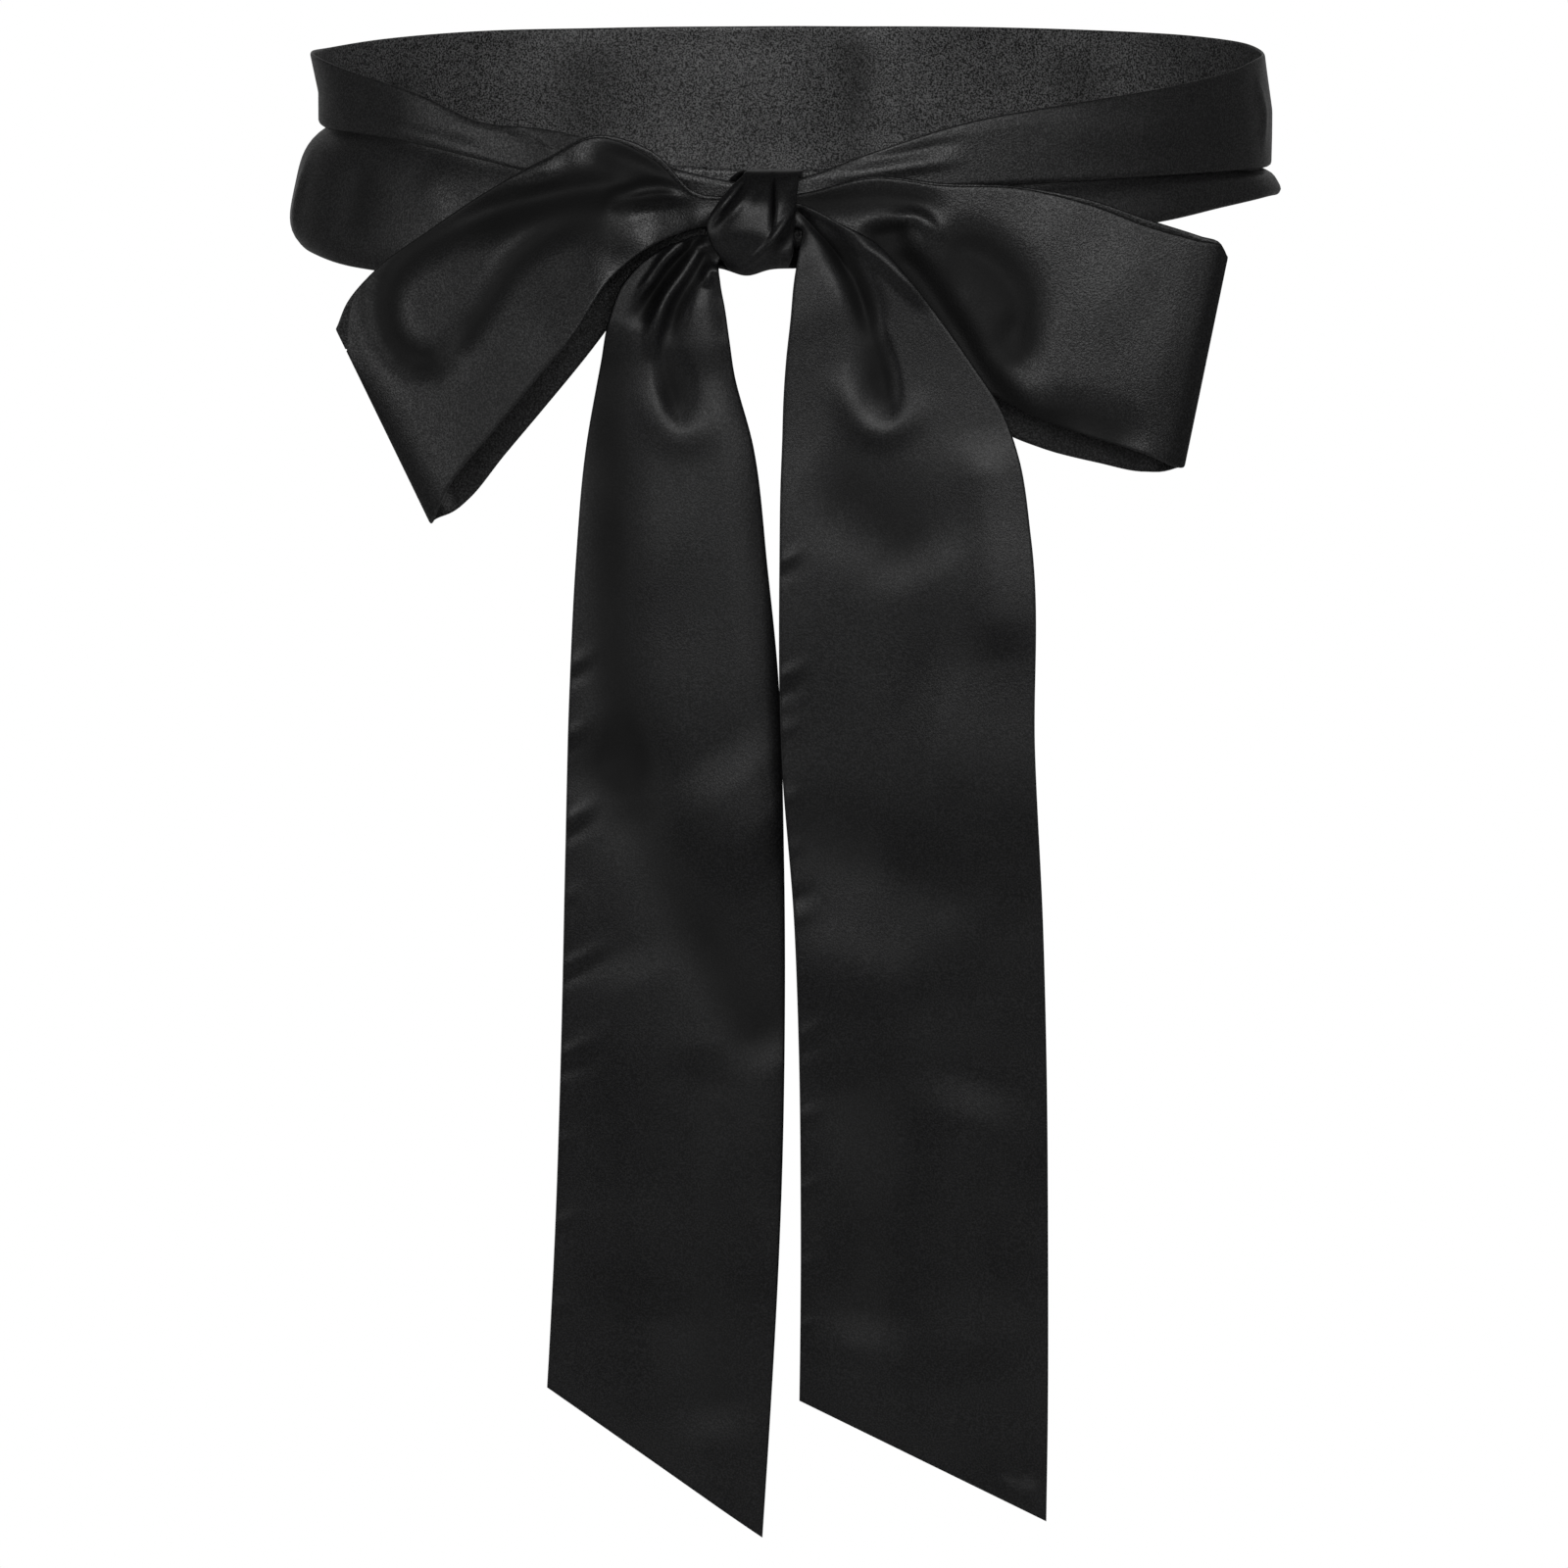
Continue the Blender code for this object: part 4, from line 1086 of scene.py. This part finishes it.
# %% World
bpy.context.scene.view_settings.view_transform = "Standard"
DIM = 0.06
BEHIND = 0.4
world = bpy.data.worlds.new("studio")
bpy.context.scene.world = world
world.use_nodes = True
sky = world.node_tree
where = sky.nodes.new("ShaderNodeTexCoord")
split = sky.nodes.new("ShaderNodeSeparateXYZ")
sky.links.new(where.outputs["Generated"], split.inputs["Vector"])
ray = sky.nodes.new("ShaderNodeLightPath")
pick = sky.nodes.new("ShaderNodeMix")
pick.inputs["B"].default_value = 1.0
sky.links.new(ray.outputs["Is Camera Ray"], pick.inputs["Factor"])
sky.links.new(map_range(sky, split.outputs["Y"], (0.85, 1.0), (DIM, BEHIND)), pick.inputs["A"])
background = sky.nodes["Background"]
sky.links.new(pick.outputs["Result"], background.inputs["Strength"])
background.inputs["Color"].default_value = (1, 1, 1, 1)
print("world strength for the cloth:", DIM, "to", BEHIND)

# %% [markdown]
# ## Lights
# A wide soft light hangs in front and above, near the camera's line, so the cloth that faces it is light and
# every slope falls off to black. A weak one at each side keeps the turned sides from going out altogether.

# %% Lights
def soft_light(name, place, target, size, power):
    """A rectangular area light at place, turned to look at target."""
    lamp = bpy.data.lights.new(name, "AREA")
    lamp.shape = "RECTANGLE"
    lamp.size = size[0]
    lamp.size_y = size[1]
    lamp.energy = power
    holder = placed(name, lamp)
    holder.location = place
    holder.rotation_euler = (Vector(target) - Vector(place)).to_track_quat("-Z", "Y").to_euler()


soft_light("key", place=(0.45, -3.5, 1.05), target=(0, -0.1, -0.15), size=(3.2, 1.4), power=48)
soft_light("left", place=(-1.95, -1.1, -0.1), target=(-0.1, -0.05, 0), size=(0.8, 0.9), power=4.5)
soft_light("right", place=(2.8, -2.0, 0.2), target=(0.1, 0, -0.05), size=(0.9, 1.0), power=3.4)

# %% [markdown]
# ## Camera
# The camera stands far off with a long lens, so near and far cloth keep nearly the same scale. It looks a
# little down, which is why the inside of the back shows over the front of the band.

# %% Camera
SENSOR = 36.0
DISTANCE = 3000.0  # from the camera to the point it looks at
PICTURE = 486.4  # the width that the picture shows there
LOOK_AT = (-0.001, -0.128, -0.178)
tilt = np.radians(9.0)
camera_data = bpy.data.cameras.new("camera")
camera_data.sensor_width = SENSOR
camera_data.lens = SENSOR * DISTANCE / PICTURE
camera_data.clip_start = 0.1
camera_data.clip_end = 50
camera = placed("camera", camera_data)
back = DISTANCE / MM * np.cos(tilt)
up = DISTANCE / MM * np.sin(tilt)
camera.location = (LOOK_AT[0], LOOK_AT[1] - back, LOOK_AT[2] + up)
camera.rotation_euler = (np.pi / 2 - tilt, 0, 0)
bpy.context.scene.camera = camera
print("camera", [round(v, 3) for v in camera.location])
